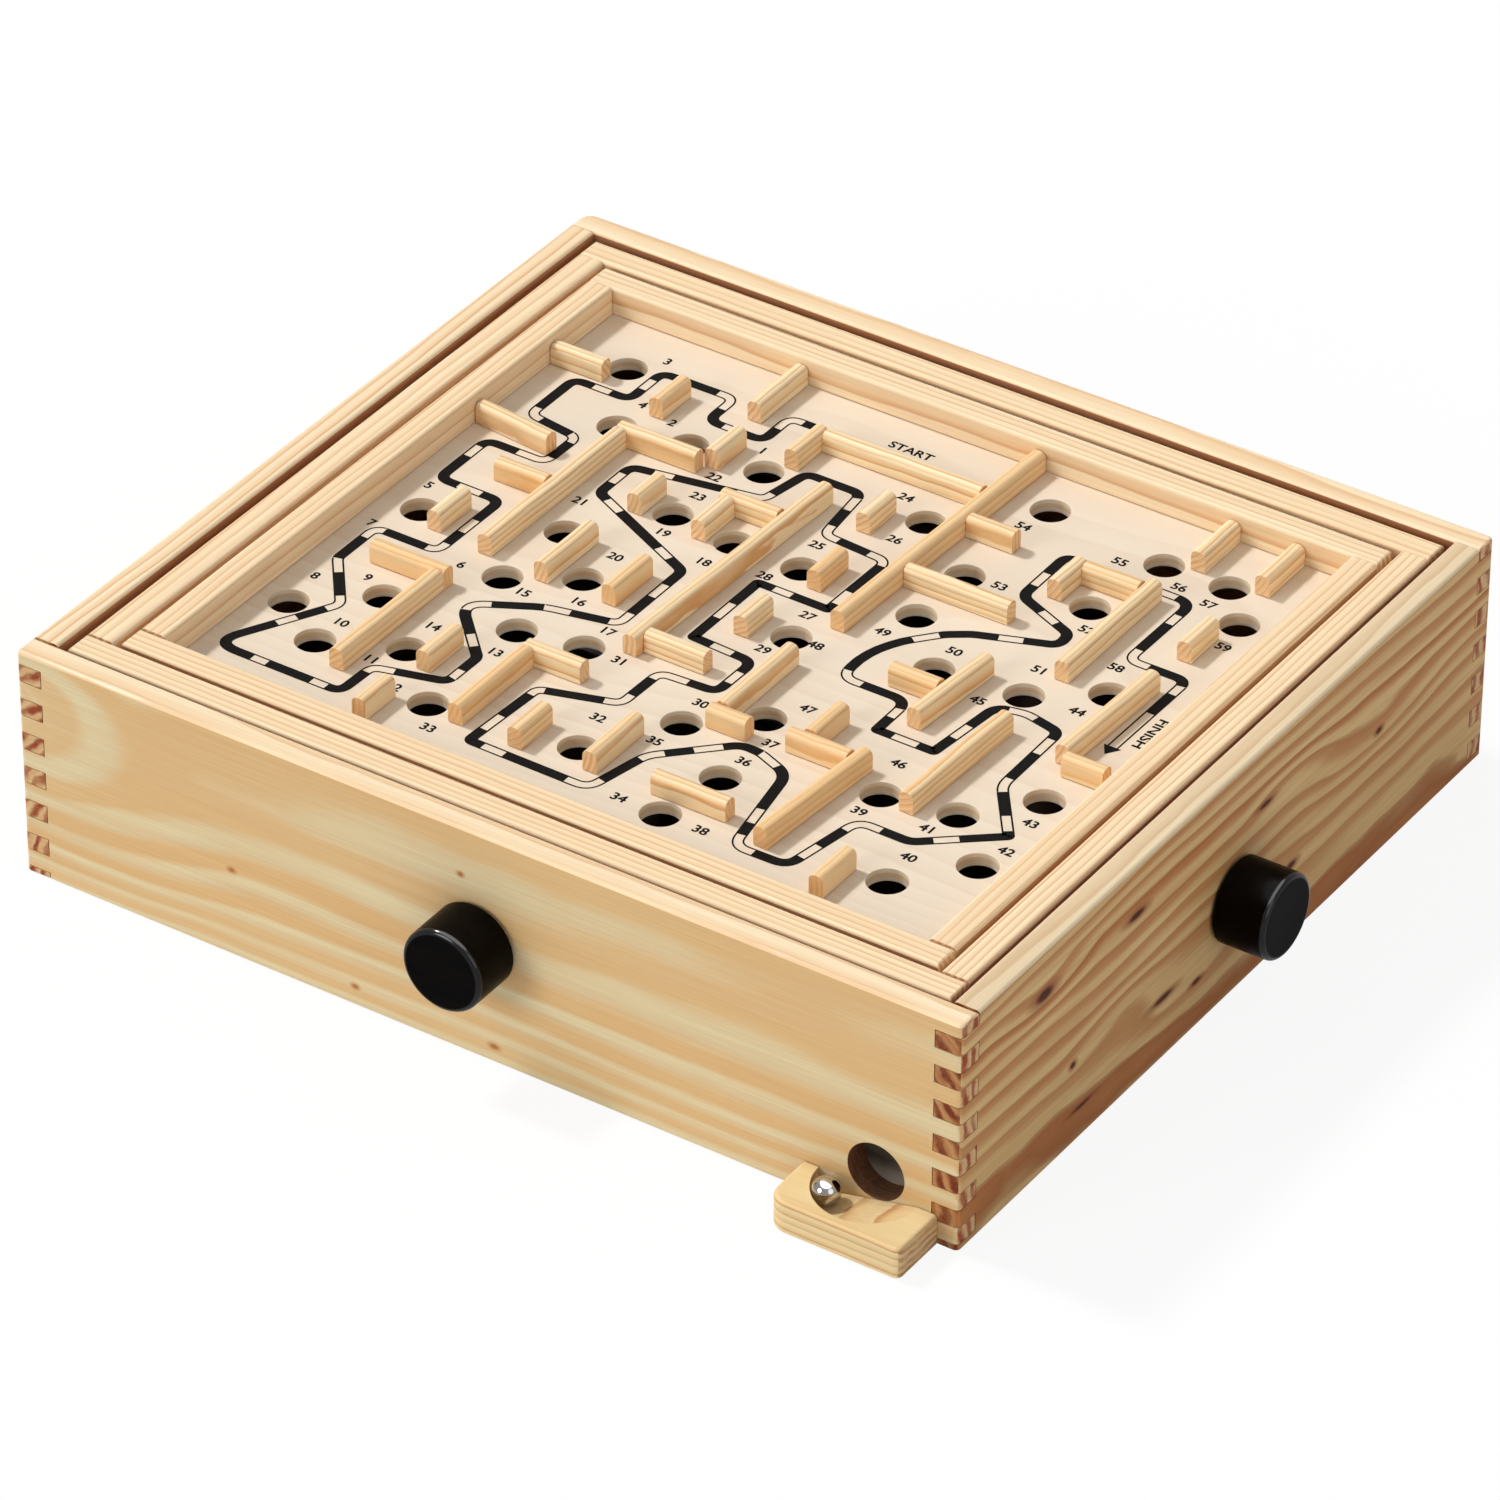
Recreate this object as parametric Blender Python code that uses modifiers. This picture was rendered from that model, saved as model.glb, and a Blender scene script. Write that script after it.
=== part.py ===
# Wooden labyrinth game. A finger-jointed case holds two nested frames: the outer
# one tips on pins in the side panels, the inner one on pins in the outer one, and
# it carries the maze board with its walls and holes. Two knobs turn axles under
# the board, and a cord wound on each axle pulls its frame over. A ball that falls
# through a hole rolls down a sloping floor and out into the tray at the front.
#
# Lengths are in metres and +Z is up. The front, with one knob and the ball tray,
# faces -Y, and the other knob is on the right, at +X. The origin is under the
# middle of everything, knob and tray included. Places of pieces are given from
# the middle of the case's bottom.

import math

import bmesh
import bpy
from mathutils import Matrix, Vector

# Fits that every piece shares
gap = 0.0003
overrun = 0.002

# Case of four finger-jointed panels
case_width = 0.300
case_depth = 0.269
case_height = 0.072
panel_thickness = 0.008
corner_radius = 0.0016
back_left_radius = 0.004
arris = 0.0012
foot_arris = 0.0004
top_finger = 0.004
finger_height = 0.0055

# Exit for the ball, in the front panel
exit_from_right = 0.0252
exit_height = 0.0152
exit_radius = 0.00875

# Sloping floor, lowest behind the exit
ramp_thickness = 0.003
ramp_rise_left = 0.0107
ramp_rise_back = 0.0076

# Ball tray and the scoop in its top, whose floor falls to the left
tray_from_right = 0.0062
tray_width = 0.0413
tray_projection = 0.018
tray_thickness = 0.0095
tray_left_radius = 0.0065
tray_right_radius = 0.002
tray_arris = 0.0012
scoop_from_right = 0.0211
scoop_radius = 0.0153
scoop_tilt = math.radians(13)

# Steel ball, lying at the low side of the scoop
ball_radius = 0.0041
ball_bearing = math.radians(215)

# Nested frames and the pins they tip on
outer_clearance = 0.0019
outer_rail_width = 0.0085
inner_clearance = 0.0018
inner_rail_width = 0.0082
rail_height = 0.015
rail_drop = 0.001
rail_arris = 0.0012
pivot_drop = 0.007
pin_radius = 0.0015
panel_pin_seat = 0.005
outer_pin_seat = 0.006
inner_pin_seat = 0.005
maze_pin_seat = 0.0045

# Maze board, held in a rebate under the inner rails' inner edges
board_drop = 0.009
board_thickness = 0.004
rebate_width = 0.003
hole_radius = 0.0057

# Maze walls. Their lines below lie nearer their right and front faces than their
# middles, which are this much further left and back.
wall_width = 0.0046
wall_rise = 0.0066
wall_arris = 0.0014
wall_offset = 0.0005

# Knobs and axles
knob_radius = 0.0125
knob_length = 0.016
knob_arris = 0.0014
knob_clearance = 0.0006
knob_bore_depth = 0.012
axle_radius = 0.0025
axle_seat = 0.005
axle_crossing = 0.0008
front_axle_height = 0.0374

# Cords from the axles to the frames, each with a spring in one run
cord_radius = 0.0005
cord_turns = 2
cord_pitch = 0.0015
cord_offset = 0.012
cord_seat = 0.003
cord_bend = 0.003
spring_radius = 0.0015
spring_length = 0.014
spring_leg = 0.003
spring_from_rail = 0.008

# Fineness of round shapes
corner_steps = 4
arris_steps = 2
hole_steps = 16
exit_steps = 32
axle_steps = 16
pin_steps = 12
knob_steps = 32
ball_steps = 24
scoop_steps = 40
cord_steps = 24
bend_steps = 4

# Centres of the board's holes, as shares of its width and depth
hole_shares = [
    (-0.419, 0.400), (-0.270, 0.292), (-0.360, 0.276), (-0.168, 0.294),
    (-0.205, 0.145), (-0.116, 0.134), (-0.024, 0.132), (-0.286, 0.032),
    (0.145, 0.426), (0.310, 0.400), (0.394, 0.403), (0.441, 0.338),
    (0.041, 0.313), (0.136, 0.236), (0.286, 0.264), (0.134, 0.125),
    (0.393, 0.113), (0.207, 0.036), (0.316, 0.051), (0.042, -0.005),
    (-0.447, -0.029), (-0.215, -0.044), (-0.292, -0.098), (-0.137, -0.171),
    (-0.218, -0.187), (-0.380, -0.219), (-0.462, -0.296), (-0.298, -0.300),
    (-0.392, -0.349), (-0.217, -0.384), (-0.033, -0.357), (0.442, -0.130),
    (0.106, -0.174), (0.034, -0.241), (0.378, -0.214), (0.288, -0.231),
    (0.446, -0.291), (0.127, -0.312), (0.381, -0.380), (0.111, -0.418),
]

# Walls by number: the way they run, the line they stand on, both ends and how far
# they are glued askew, in degrees. Lines and ends are shares of the board's width
# along x and of its depth along y. An end at half the board meets a rail.
wall_shares = {
    1: ("x", 0.360, -0.500, -0.427, 0),
    2: ("y", -0.331, 0.321, 0.389, 0),
    3: ("y", -0.233, 0.386, 0.500, 0),
    4: ("x", 0.180, -0.500, -0.391, -6),
    5: ("y", -0.332, -0.070, 0.247, 0),
    6: ("x", 0.247, -0.3395, -0.2115, 0),
    7: ("y", -0.219, 0.249, 0.329, 0),
    8: ("x", 0.088, -0.413, -0.332, 0),
    9: ("y", -0.407, -0.061, 0.009, 0),
    10: ("y", -0.240, 0.117, 0.178, 0),
    11: ("y", -0.143, 0.318, 0.3915, 0),
    12: ("x", 0.383, -0.143, 0.0885, 0),
    13: ("y", 0.0855, 0.039, 0.500, -1.8),
    14: ("y", -0.150, 0.112, 0.190, 0),
    15: ("x", 0.190, -0.165, -0.078, 0),
    16: ("y", -0.079, -0.154, 0.281, -1.8),
    17: ("y", -0.004, 0.245, 0.309, 0),
    18: ("y", 0.0135, 0.099, 0.165, 0),
    19: ("x", 0.319, 0.087, 0.157, 0),
    20: ("x", 0.178, 0.083, 0.228, 0),
    21: ("y", 0.246, 0.253, 0.3175, 0),
    22: ("x", 0.309, 0.246, 0.339, 0),
    23: ("y", 0.338, 0.1025, 0.328, 0),
    24: ("y", 0.350, 0.4105, 0.500, 0),
    25: ("y", 0.4345, 0.409, 0.500, 0),
    26: ("y", 0.430, 0.226, 0.295, 0),
    27: ("y", 0.427, -0.0665, 0.152, -2),
    28: ("x", -0.0665, 0.4165, 0.485, 0),
    29: ("y", 0.257, -0.089, 0.067, -4),
    30: ("x", -0.020, 0.182, 0.256, 0),
    31: ("y", 0.335, -0.248, -0.027, -2),
    32: ("y", 0.243, -0.4095, -0.193, -4),
    33: ("x", -0.213, 0.158, 0.249, 0),
    34: ("y", 0.181, -0.213, -0.126, 0),
    35: ("x", -0.224, 0.060, 0.112, 0),
    36: ("y", 0.072, -0.224, -0.052, 0),
    37: ("x", -0.382, 0.081, 0.179, 0),
    38: ("y", 0.335, -0.456, -0.381, 0),
    39: ("y", 0.0055, -0.394, -0.288, 0),
    40: ("y", -0.088, -0.4035, -0.334, 0),
    41: ("x", -0.236, -0.1755, -0.099, 0),
    42: ("y", -0.168, -0.402, -0.236, 0),
    43: ("y", -0.256, -0.329, -0.254, 0),
    44: ("y", -0.261, -0.460, -0.395, 0),
    45: ("y", -0.3375, -0.387, -0.159, 0),
    46: ("x", -0.159, -0.432, -0.330, 0),
    47: ("y", -0.2485, -0.0805, 0.036, 0),
    48: ("y", -0.160, -0.0755, 0.011, 0),
    49: ("x", -0.131, -0.083, 0.003, 0),
    50: ("y", -0.004, -0.040, 0.021, 0),
}

# Walls that are glued to each other, so that each group is one piece
wall_groups = [
    (5, 6, 7, 8), (11, 12, 13, 19, 20), (14, 15, 16, 49), (21, 22, 23), (27, 28),
    (29, 30), (32, 33, 34), (35, 36), (41, 42), (45, 46),
]

# Sizes that follow from those above
frame_reach_x = case_width / 2 - panel_thickness
frame_reach_y = case_depth / 2 - panel_thickness
outer_reach_x = frame_reach_x - outer_clearance
outer_reach_y = frame_reach_y - outer_clearance
inner_reach_x = outer_reach_x - outer_rail_width - inner_clearance
inner_reach_y = outer_reach_y - outer_rail_width - inner_clearance
board_width = 2 * (inner_reach_x - inner_rail_width)
board_depth = 2 * (inner_reach_y - inner_rail_width)
rail_top = case_height - rail_drop
rail_bottom = rail_top - rail_height
pivot_height = rail_top - pivot_drop
board_top = rail_top - board_drop
right_axle_height = front_axle_height - 2 * axle_radius - axle_crossing
exit_x = case_width / 2 - exit_from_right
tray_x = case_width / 2 - tray_from_right - tray_width / 2
tray_back = -case_depth / 2 - gap
scoop_x = case_width / 2 - tray_from_right - scoop_from_right
scoop_y = -case_depth / 2
knob_reach = knob_clearance + knob_length
front_reach = max(knob_reach, gap + tray_projection)
cord_path_radius = axle_radius + gap + cord_radius

# Wood, stain and steel
pine = ((0.80, 0.60, 0.36), 0.55, 0.0)
dark_pine = ((0.52, 0.36, 0.17), 0.55, 0.0)
birch = ((0.84, 0.68, 0.50), 0.5, 0.0)
orange_pine = ((0.84, 0.58, 0.34), 0.5, 0.0)
black_stain = ((0.02, 0.018, 0.016), 0.35, 0.0)
steel = ((0.62, 0.62, 0.64), 0.12, 1.0)
spring_steel = ((0.5, 0.5, 0.52), 0.3, 1.0)
black_cord = ((0.05, 0.05, 0.05), 0.8, 0.0)


# Collections, materials and carriers

def new_collection(name):
    collection = bpy.data.collections.new(name)
    bpy.context.scene.collection.children.link(collection)
    return collection


def clear_scene():
    for obj in list(bpy.data.objects):
        bpy.data.objects.remove(obj, do_unlink=True)


clear_scene()
pieces = new_collection("labyrinth_game")
cutters = new_collection("labyrinth_cutters")


def new_material(name, finish):
    colour, roughness, metallic = finish
    material = bpy.data.materials.new(name)
    material.use_nodes = True
    shader = material.node_tree.nodes["Principled BSDF"]
    shader.inputs["Base Color"].default_value = (*colour, 1.0)
    shader.inputs["Roughness"].default_value = roughness
    shader.inputs["Metallic"].default_value = metallic
    return material


def new_carrier(name, parent, place):
    # An empty that pieces are parented to, at a place given from the case's middle
    carrier = bpy.data.objects.new(name, None)
    carrier.empty_display_size = knob_length
    pieces.objects.link(carrier)
    places[name] = Vector(place)
    if parent:
        carrier.parent = parent
        carrier.location = places[name] - places[parent.name]
    return carrier


def add_piece(name, data, finish, carrier, place, rotation=(0, 0, 0)):
    piece = bpy.data.objects.new(name, data)
    piece.data.materials.append(new_material(name, finish))
    piece.parent = carrier
    piece.location = Vector(place) - places[carrier.name]
    piece.rotation_euler = rotation
    pieces.objects.link(piece)
    return piece


# Shapes

def new_mesh(name, shape, smooth=False):
    mesh = bpy.data.meshes.new(name)
    shape.to_mesh(mesh)
    shape.free()
    if smooth:
        mesh.shade_smooth()
        mesh.set_sharp_from_angle(angle=math.radians(35))
    return mesh


def add_box(shape, low, high):
    low, high = Vector(low), Vector(high)
    made = bmesh.ops.create_cube(shape, size=1)["verts"]
    bmesh.ops.scale(shape, vec=high - low, verts=made)
    bmesh.ops.translate(shape, vec=(low + high) / 2, verts=made)
    return made


def add_rod(shape, start, end, radius, steps):
    # A closed cylinder from one point to another
    start, end = Vector(start), Vector(end)
    turn = (end - start).to_track_quat("Z", "Y").to_matrix().to_4x4()
    bmesh.ops.create_cone(
        shape, cap_ends=True, segments=steps, radius1=radius, radius2=radius,
        depth=(end - start).length, matrix=Matrix.Translation((start + end) / 2) @ turn)


def bevel_edges(shape, edges, width, steps):
    bmesh.ops.bevel(
        shape, geom=edges, offset=width, offset_type="OFFSET", segments=steps,
        profile=0.5, affect="EDGES", clamp_overlap=True)


def level_edges(shape, height):
    # The edges that lie at one height between a level face and an upright one
    found = []
    for edge in shape.edges:
        if all(abs(vert.co.z - height) < gap / 3 for vert in edge.verts):
            if edge.calc_face_angle(0) > math.radians(45):
                found.append(edge)
    return found


def cut(piece, shape):
    # Takes a shape, given in the piece's own frame, out of the piece
    cutter = bpy.data.objects.new(piece.name + "_cuts", new_mesh(piece.name + "_cuts", shape))
    cutter.parent = piece
    cutter.hide_render = True
    cutter.display_type = "WIRE"
    cutters.objects.link(cutter)
    boolean = piece.modifiers.new("Cuts", "BOOLEAN")
    boolean.operation = "DIFFERENCE"
    boolean.object = cutter


# Case: each panel is made as the front one is, then turned to its side

def finger_levels():
    levels = [case_height, case_height - top_finger]
    while levels[-1] - finger_height > 2 * gap:
        levels.append(levels[-1] - finger_height)
    return levels + [0]


def add_finger_cuts(shape, length, face, first):
    # Notches at both ends for the fingers of the neighbours, every second level
    levels = finger_levels()
    for index in range(first, len(levels) - 1, 2):
        high = levels[index] + (overrun if index == 0 else gap / 2)
        low = levels[index + 1] - (overrun if levels[index + 1] == 0 else gap / 2)
        for side in (-1, 1):
            ends = sorted((side * (length / 2 - panel_thickness - gap),
                           side * (length / 2 + overrun)))
            add_box(shape, (ends[0], face - overrun, low),
                    (ends[1], face + panel_thickness + overrun, high))


def make_panel(name, length, reach, turn, first, radii, finish, holes):
    face = -reach
    shape = bmesh.new()
    add_box(shape, (-length / 2, face, 0), (length / 2, face + panel_thickness, case_height))
    for side, radius in zip((-1, 1), radii):
        corner = [edge for edge in shape.edges
                  if abs(edge.verts[0].co.z - edge.verts[1].co.z) > gap
                  and edge.verts[0].co.y < face + gap and side * edge.verts[0].co.x > 0]
        bevel_edges(shape, corner, radius, corner_steps)
    bevel_edges(shape, level_edges(shape, 0), foot_arris, arris_steps)
    bevel_edges(shape, level_edges(shape, case_height), arris, arris_steps)
    panel = add_piece(name, new_mesh(name, shape), finish, case, (0, 0, 0), (0, 0, turn))
    cuts = bmesh.new()
    add_finger_cuts(cuts, length, face, first)
    for across, height, start, depth, radius, steps in holes:
        add_rod(cuts, (across, face + start, height), (across, face + start + depth, height),
                radius, steps)
    cut(panel, cuts)


def make_case():
    through = (-overrun, panel_thickness + 2 * overrun)
    axle_hole = axle_radius + gap
    pin_hole = pin_radius + gap
    axle_blind = (panel_thickness - axle_seat, axle_seat + overrun)
    pin_blind = (panel_thickness - panel_pin_seat, panel_pin_seat + overrun)
    front_holes = [
        (0, front_axle_height, *through, axle_hole, axle_steps),
        (exit_x, exit_height, *through, exit_radius, exit_steps),
    ]
    back_holes = [(0, front_axle_height, *axle_blind, axle_hole, axle_steps)]
    right_holes = [
        (0, right_axle_height, *through, axle_hole, axle_steps),
        (0, pivot_height, *pin_blind, pin_hole, pin_steps),
    ]
    left_holes = [
        (0, right_axle_height, *axle_blind, axle_hole, axle_steps),
        (0, pivot_height, *pin_blind, pin_hole, pin_steps),
    ]
    quarter = math.radians(90)
    sharp, blunt = corner_radius, back_left_radius
    make_panel("front_panel", case_width, case_depth / 2, 0, 1, (sharp, sharp), pine,
               front_holes)
    make_panel("right_panel", case_depth, case_width / 2, quarter, 0, (sharp, sharp), dark_pine,
               right_holes)
    make_panel("back_panel", case_width, case_depth / 2, 2 * quarter, 1, (sharp, blunt), pine,
               back_holes)
    make_panel("left_panel", case_depth, case_width / 2, 3 * quarter, 0, (blunt, sharp), pine,
               left_holes)


def ramp_height(x, y):
    # Top of the sloping floor: just under the exit's lowest point, rising from there
    lowest = exit_height - exit_radius - gap
    left = ramp_rise_left * (exit_x - x) / (2 * frame_reach_x)
    back = ramp_rise_back * (y + frame_reach_y) / (2 * frame_reach_y)
    return lowest + left + back


def make_ramp_floor():
    shape = bmesh.new()
    reach_x, reach_y = frame_reach_x - gap, frame_reach_y - gap
    add_box(shape, (-reach_x, -reach_y, -ramp_thickness), (reach_x, reach_y, 0))
    for vert in shape.verts:
        vert.co.z += ramp_height(vert.co.x, vert.co.y)
    add_piece("ramp_floor", new_mesh("ramp_floor", shape), birch, case, (0, 0, 0))


# Ball tray and ball

def scoop_floor(x):
    # The scoop's floor reaches the tray's top at its right-hand side
    return tray_thickness - (scoop_x + scoop_radius - x) * math.tan(scoop_tilt)


def make_ball_tray():
    shape = bmesh.new()
    left, right = tray_x - tray_width / 2, tray_x + tray_width / 2
    front = tray_back - tray_projection
    add_box(shape, (left, front, 0), (right, tray_back, tray_thickness))
    corners = ((left, tray_left_radius, 2 * corner_steps),
               (right, tray_right_radius, corner_steps))
    for side, radius, steps in corners:
        corner = [edge for edge in shape.edges
                  if all(abs(vert.co.x - side) < gap and abs(vert.co.y - front) < gap
                         for vert in edge.verts)]
        bevel_edges(shape, corner, radius, steps)
    edges = [edge for edge in level_edges(shape, tray_thickness)
             if any(vert.co.y < tray_back - gap for vert in edge.verts)]
    bevel_edges(shape, edges, tray_arris, arris_steps)
    tray = add_piece("ball_tray", new_mesh("ball_tray", shape), pine, case, (0, 0, 0))
    cuts = bmesh.new()
    add_rod(cuts, (scoop_x, scoop_y, tray_thickness / 2),
            (scoop_x, scoop_y, tray_thickness + overrun), scoop_radius, scoop_steps)
    for vert in cuts.verts:
        if vert.co.z < tray_thickness:
            vert.co.z = scoop_floor(vert.co.x)
    cut(tray, cuts)


def make_steel_ball():
    away = scoop_radius - ball_radius - gap
    x = scoop_x + away * math.cos(ball_bearing)
    y = scoop_y + away * math.sin(ball_bearing)
    z = scoop_floor(x) + (ball_radius + gap) / math.cos(scoop_tilt)
    shape = bmesh.new()
    bmesh.ops.create_uvsphere(
        shape, u_segments=ball_steps, v_segments=ball_steps // 2, radius=ball_radius)
    mesh = new_mesh("steel_ball", shape, smooth=True)
    add_piece("steel_ball", mesh, steel, case, (x, y, z))


# Frames: front and back rails run the full width, side rails stand between them

def make_rail(name, size, round_ends, carrier, place, finish, cuts):
    # The rail is centred on its place, and its cuts are given from there
    half_x, half_y = size[0] / 2, size[1] / 2
    shape = bmesh.new()
    add_box(shape, (-half_x, -half_y, -rail_height / 2), (half_x, half_y, rail_height / 2))
    long_way = 0 if half_x > half_y else 1
    edges = []
    for edge in level_edges(shape, rail_height / 2):
        along = abs(edge.verts[0].co[long_way] - edge.verts[1].co[long_way]) > gap
        if along or round_ends:
            edges.append(edge)
    bevel_edges(shape, edges, rail_arris, arris_steps)
    rail = add_piece(name, new_mesh(name, shape), finish, carrier, place)
    cut(rail, cuts)


def add_pin_seat(cuts, out, height, width, depth):
    # A blind hole in the middle of a rail, sunk from the side that faces out
    out = Vector(out)
    face = out * (width / 2) + Vector((0, 0, height))
    add_rod(cuts, face + out * overrun, face - out * depth, pin_radius + gap, pin_steps)


def add_cord_hole(cuts, x, y):
    add_rod(cuts, (x, y, -rail_height / 2 - overrun), (x, y, -rail_height / 2 + cord_seat),
            cord_radius + gap, pin_steps)


def make_outer_frame():
    middle = rail_top - rail_height / 2
    pin = pivot_height - middle
    side_length = 2 * (outer_reach_y - outer_rail_width - gap)
    for name, side in (("front", -1), ("back", 1)):
        cuts = bmesh.new()
        add_pin_seat(cuts, (0, -side, 0), pin, outer_rail_width, inner_pin_seat)
        add_cord_hole(cuts, cord_offset + side * cord_turns * cord_pitch / 2, 0)
        make_rail("outer_rail_" + name, (2 * outer_reach_x, outer_rail_width), True,
                  outer_tilt, (0, side * (outer_reach_y - outer_rail_width / 2), middle),
                  pine, cuts)
    for name, side in (("left", -1), ("right", 1)):
        cuts = bmesh.new()
        add_pin_seat(cuts, (side, 0, 0), pin, outer_rail_width, outer_pin_seat)
        make_rail("outer_rail_" + name, (outer_rail_width, side_length), False,
                  outer_tilt, (side * (outer_reach_x - outer_rail_width / 2), 0, middle),
                  pine, cuts)


def maze_cord_inset():
    # The cord hole is in the middle of the rail's underside, outside the rebate
    return (inner_rail_width - rebate_width) / 2


def make_inner_frame():
    middle = rail_top - rail_height / 2
    pin = pivot_height - middle
    rebate_top = board_top + gap - middle
    rebate_reach = board_width / 2 + rebate_width
    side_length = 2 * (inner_reach_y - inner_rail_width - gap)
    half = inner_rail_width / 2
    low = -rail_height / 2 - overrun
    for name, side in (("front", -1), ("back", 1)):
        cuts = bmesh.new()
        edges = sorted((-side * (half - rebate_width), -side * (half + overrun)))
        add_box(cuts, (-rebate_reach, edges[0], low), (rebate_reach, edges[1], rebate_top))
        add_pin_seat(cuts, (0, side, 0), pin, inner_rail_width, maze_pin_seat)
        make_rail("inner_rail_" + name, (2 * inner_reach_x, inner_rail_width), True,
                  maze_tilt, (0, side * (inner_reach_y - half), middle), pine, cuts)
    for name, side in (("left", -1), ("right", 1)):
        cuts = bmesh.new()
        edges = sorted((-side * (half - rebate_width), -side * (half + overrun)))
        end = side_length / 2 + overrun
        add_box(cuts, (edges[0], -end, low), (edges[1], end, rebate_top))
        add_cord_hole(cuts, side * (half - maze_cord_inset()),
                      cord_offset + side * cord_turns * cord_pitch / 2)
        make_rail("inner_rail_" + name, (inner_rail_width, side_length), False,
                  maze_tilt, (side * (inner_reach_x - half), 0, middle), pine, cuts)


def make_pin(name, start, end, carrier):
    # The pin's origin is on the line that its frame tips about
    start, end = Vector(start), Vector(end)
    shape = bmesh.new()
    half = (end - start) / 2
    add_rod(shape, -half, half, pin_radius, pin_steps)
    mesh = new_mesh(name, shape, smooth=True)
    add_piece(name, mesh, spring_steel, carrier, (start + end) / 2)


def make_pins():
    for name, side in (("left", -1), ("right", 1)):
        start = side * (frame_reach_x + panel_pin_seat - gap)
        end = side * (outer_reach_x - outer_pin_seat + gap)
        make_pin("outer_pin_" + name, (start, 0, pivot_height), (end, 0, pivot_height), case)
    for name, side in (("front", -1), ("back", 1)):
        start = side * (outer_reach_y - outer_rail_width + inner_pin_seat - gap)
        end = side * (inner_reach_y - maze_pin_seat + gap)
        make_pin("inner_pin_" + name, (0, start, pivot_height), (0, end, pivot_height),
                 outer_tilt)


# Maze

def make_board():
    reach_x = board_width / 2 + rebate_width - gap
    reach_y = board_depth / 2 + rebate_width - gap
    half = board_thickness / 2
    shape = bmesh.new()
    add_box(shape, (-reach_x, -reach_y, -half), (reach_x, reach_y, half))
    board = add_piece("maze_board", new_mesh("maze_board", shape), birch, maze_tilt,
                      (0, 0, board_top - half))
    cuts = bmesh.new()
    for share_x, share_y in hole_shares:
        x, y = share_x * board_width, share_y * board_depth
        add_rod(cuts, (x, y, -half - overrun), (x, y, half + overrun), hole_radius, hole_steps)
    cut(board, cuts)


def add_wall_box(shape, number):
    way, line, start, end, askew = wall_shares[number]
    turn = math.radians(askew)
    length, across = (board_width, board_depth) if way == "x" else (board_depth, board_width)
    # An end at a rail keeps the gap, also at the corner that a skewed wall turns to it
    stop = length / 2 - gap - abs(math.sin(turn)) * wall_width / 2
    start, end = max(start * length, -stop), min(end * length, stop)
    middle, half = (start + end) / 2, (end - start) / 2
    base, top = board_top + gap, board_top + wall_rise
    if way == "x":
        sides = (half, wall_width / 2)
        centre = (middle, line * across + wall_offset, (base + top) / 2)
    else:
        sides = (wall_width / 2, half)
        centre = (line * across - wall_offset, middle, (base + top) / 2)
    made = add_box(shape, (-sides[0], -sides[1], (base - top) / 2),
                   (sides[0], sides[1], (top - base) / 2))
    bmesh.ops.rotate(shape, verts=made, cent=(0, 0, 0), matrix=Matrix.Rotation(turn, 3, "Z"))
    bmesh.ops.translate(shape, verts=made, vec=centre)


def joined_walls(numbers):
    # One solid of walls that run into each other, with its flat faces kept whole
    objects = []
    for number in numbers:
        shape = bmesh.new()
        add_wall_box(shape, number)
        obj = bpy.data.objects.new("wall", new_mesh("wall", shape))
        cutters.objects.link(obj)
        objects.append(obj)
    for other in objects[1:]:
        boolean = objects[0].modifiers.new("Join", "BOOLEAN")
        boolean.operation = "UNION"
        boolean.object = other
    evaluated = objects[0].evaluated_get(bpy.context.evaluated_depsgraph_get())
    joined = bpy.data.meshes.new_from_object(evaluated)
    shape = bmesh.new()
    shape.from_mesh(joined)
    bpy.data.meshes.remove(joined)
    for obj in objects:
        bpy.data.objects.remove(obj, do_unlink=True)
    bmesh.ops.dissolve_limit(
        shape, angle_limit=math.radians(0.5), verts=shape.verts[:], edges=shape.edges[:])
    return shape


def make_walls():
    grouped = {number for group in wall_groups for number in group}
    groups = wall_groups + [(number,) for number in wall_shares if number not in grouped]
    for group in sorted(groups):
        if len(group) > 1:
            shape = joined_walls(group)
        else:
            shape = bmesh.new()
            add_wall_box(shape, group[0])
        bevel_edges(shape, level_edges(shape, board_top + wall_rise), wall_arris, arris_steps)
        bmesh.ops.translate(shape, verts=shape.verts, vec=-places[maze_tilt.name])
        name = "maze_wall_%02d" % group[0]
        add_piece(name, new_mesh(name, shape), orange_pine, maze_tilt, places[maze_tilt.name])


# Knobs and axles

def round_profile(shape, points):
    # Joins points that lie in the XZ plane into an open line for Screw to turn
    verts = [shape.verts.new((x, 0, z)) for x, z in points]
    for first, second in zip(verts, verts[1:]):
        shape.edges.new((first, second))


def knob_outline():
    # From the middle of the outer face, down the side, and up into the bore
    corner = [(0, knob_length)]
    for step in range(arris_steps + 2):
        angle = math.radians(90) * step / (arris_steps + 1)
        corner.append((knob_radius - knob_arris * (1 - math.sin(angle)),
                       knob_length - knob_arris * (1 - math.cos(angle))))
    bore = axle_radius + gap
    foot = knob_arris / 2
    return corner + [(knob_radius, foot), (knob_radius - foot, 0), (bore, 0),
                     (bore, knob_bore_depth), (0, knob_bore_depth)]


def make_knob(name, carrier, place, rotation):
    shape = bmesh.new()
    round_profile(shape, knob_outline())
    knob = add_piece(name, new_mesh(name, shape), black_stain, carrier, place, rotation)
    screw = knob.modifiers.new("Turned", "SCREW")
    screw.axis = "Z"
    screw.steps = knob_steps
    screw.render_steps = knob_steps
    screw.use_merge_vertices = True
    screw.merge_threshold = gap / 10
    screw.use_smooth_shade = True


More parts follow.
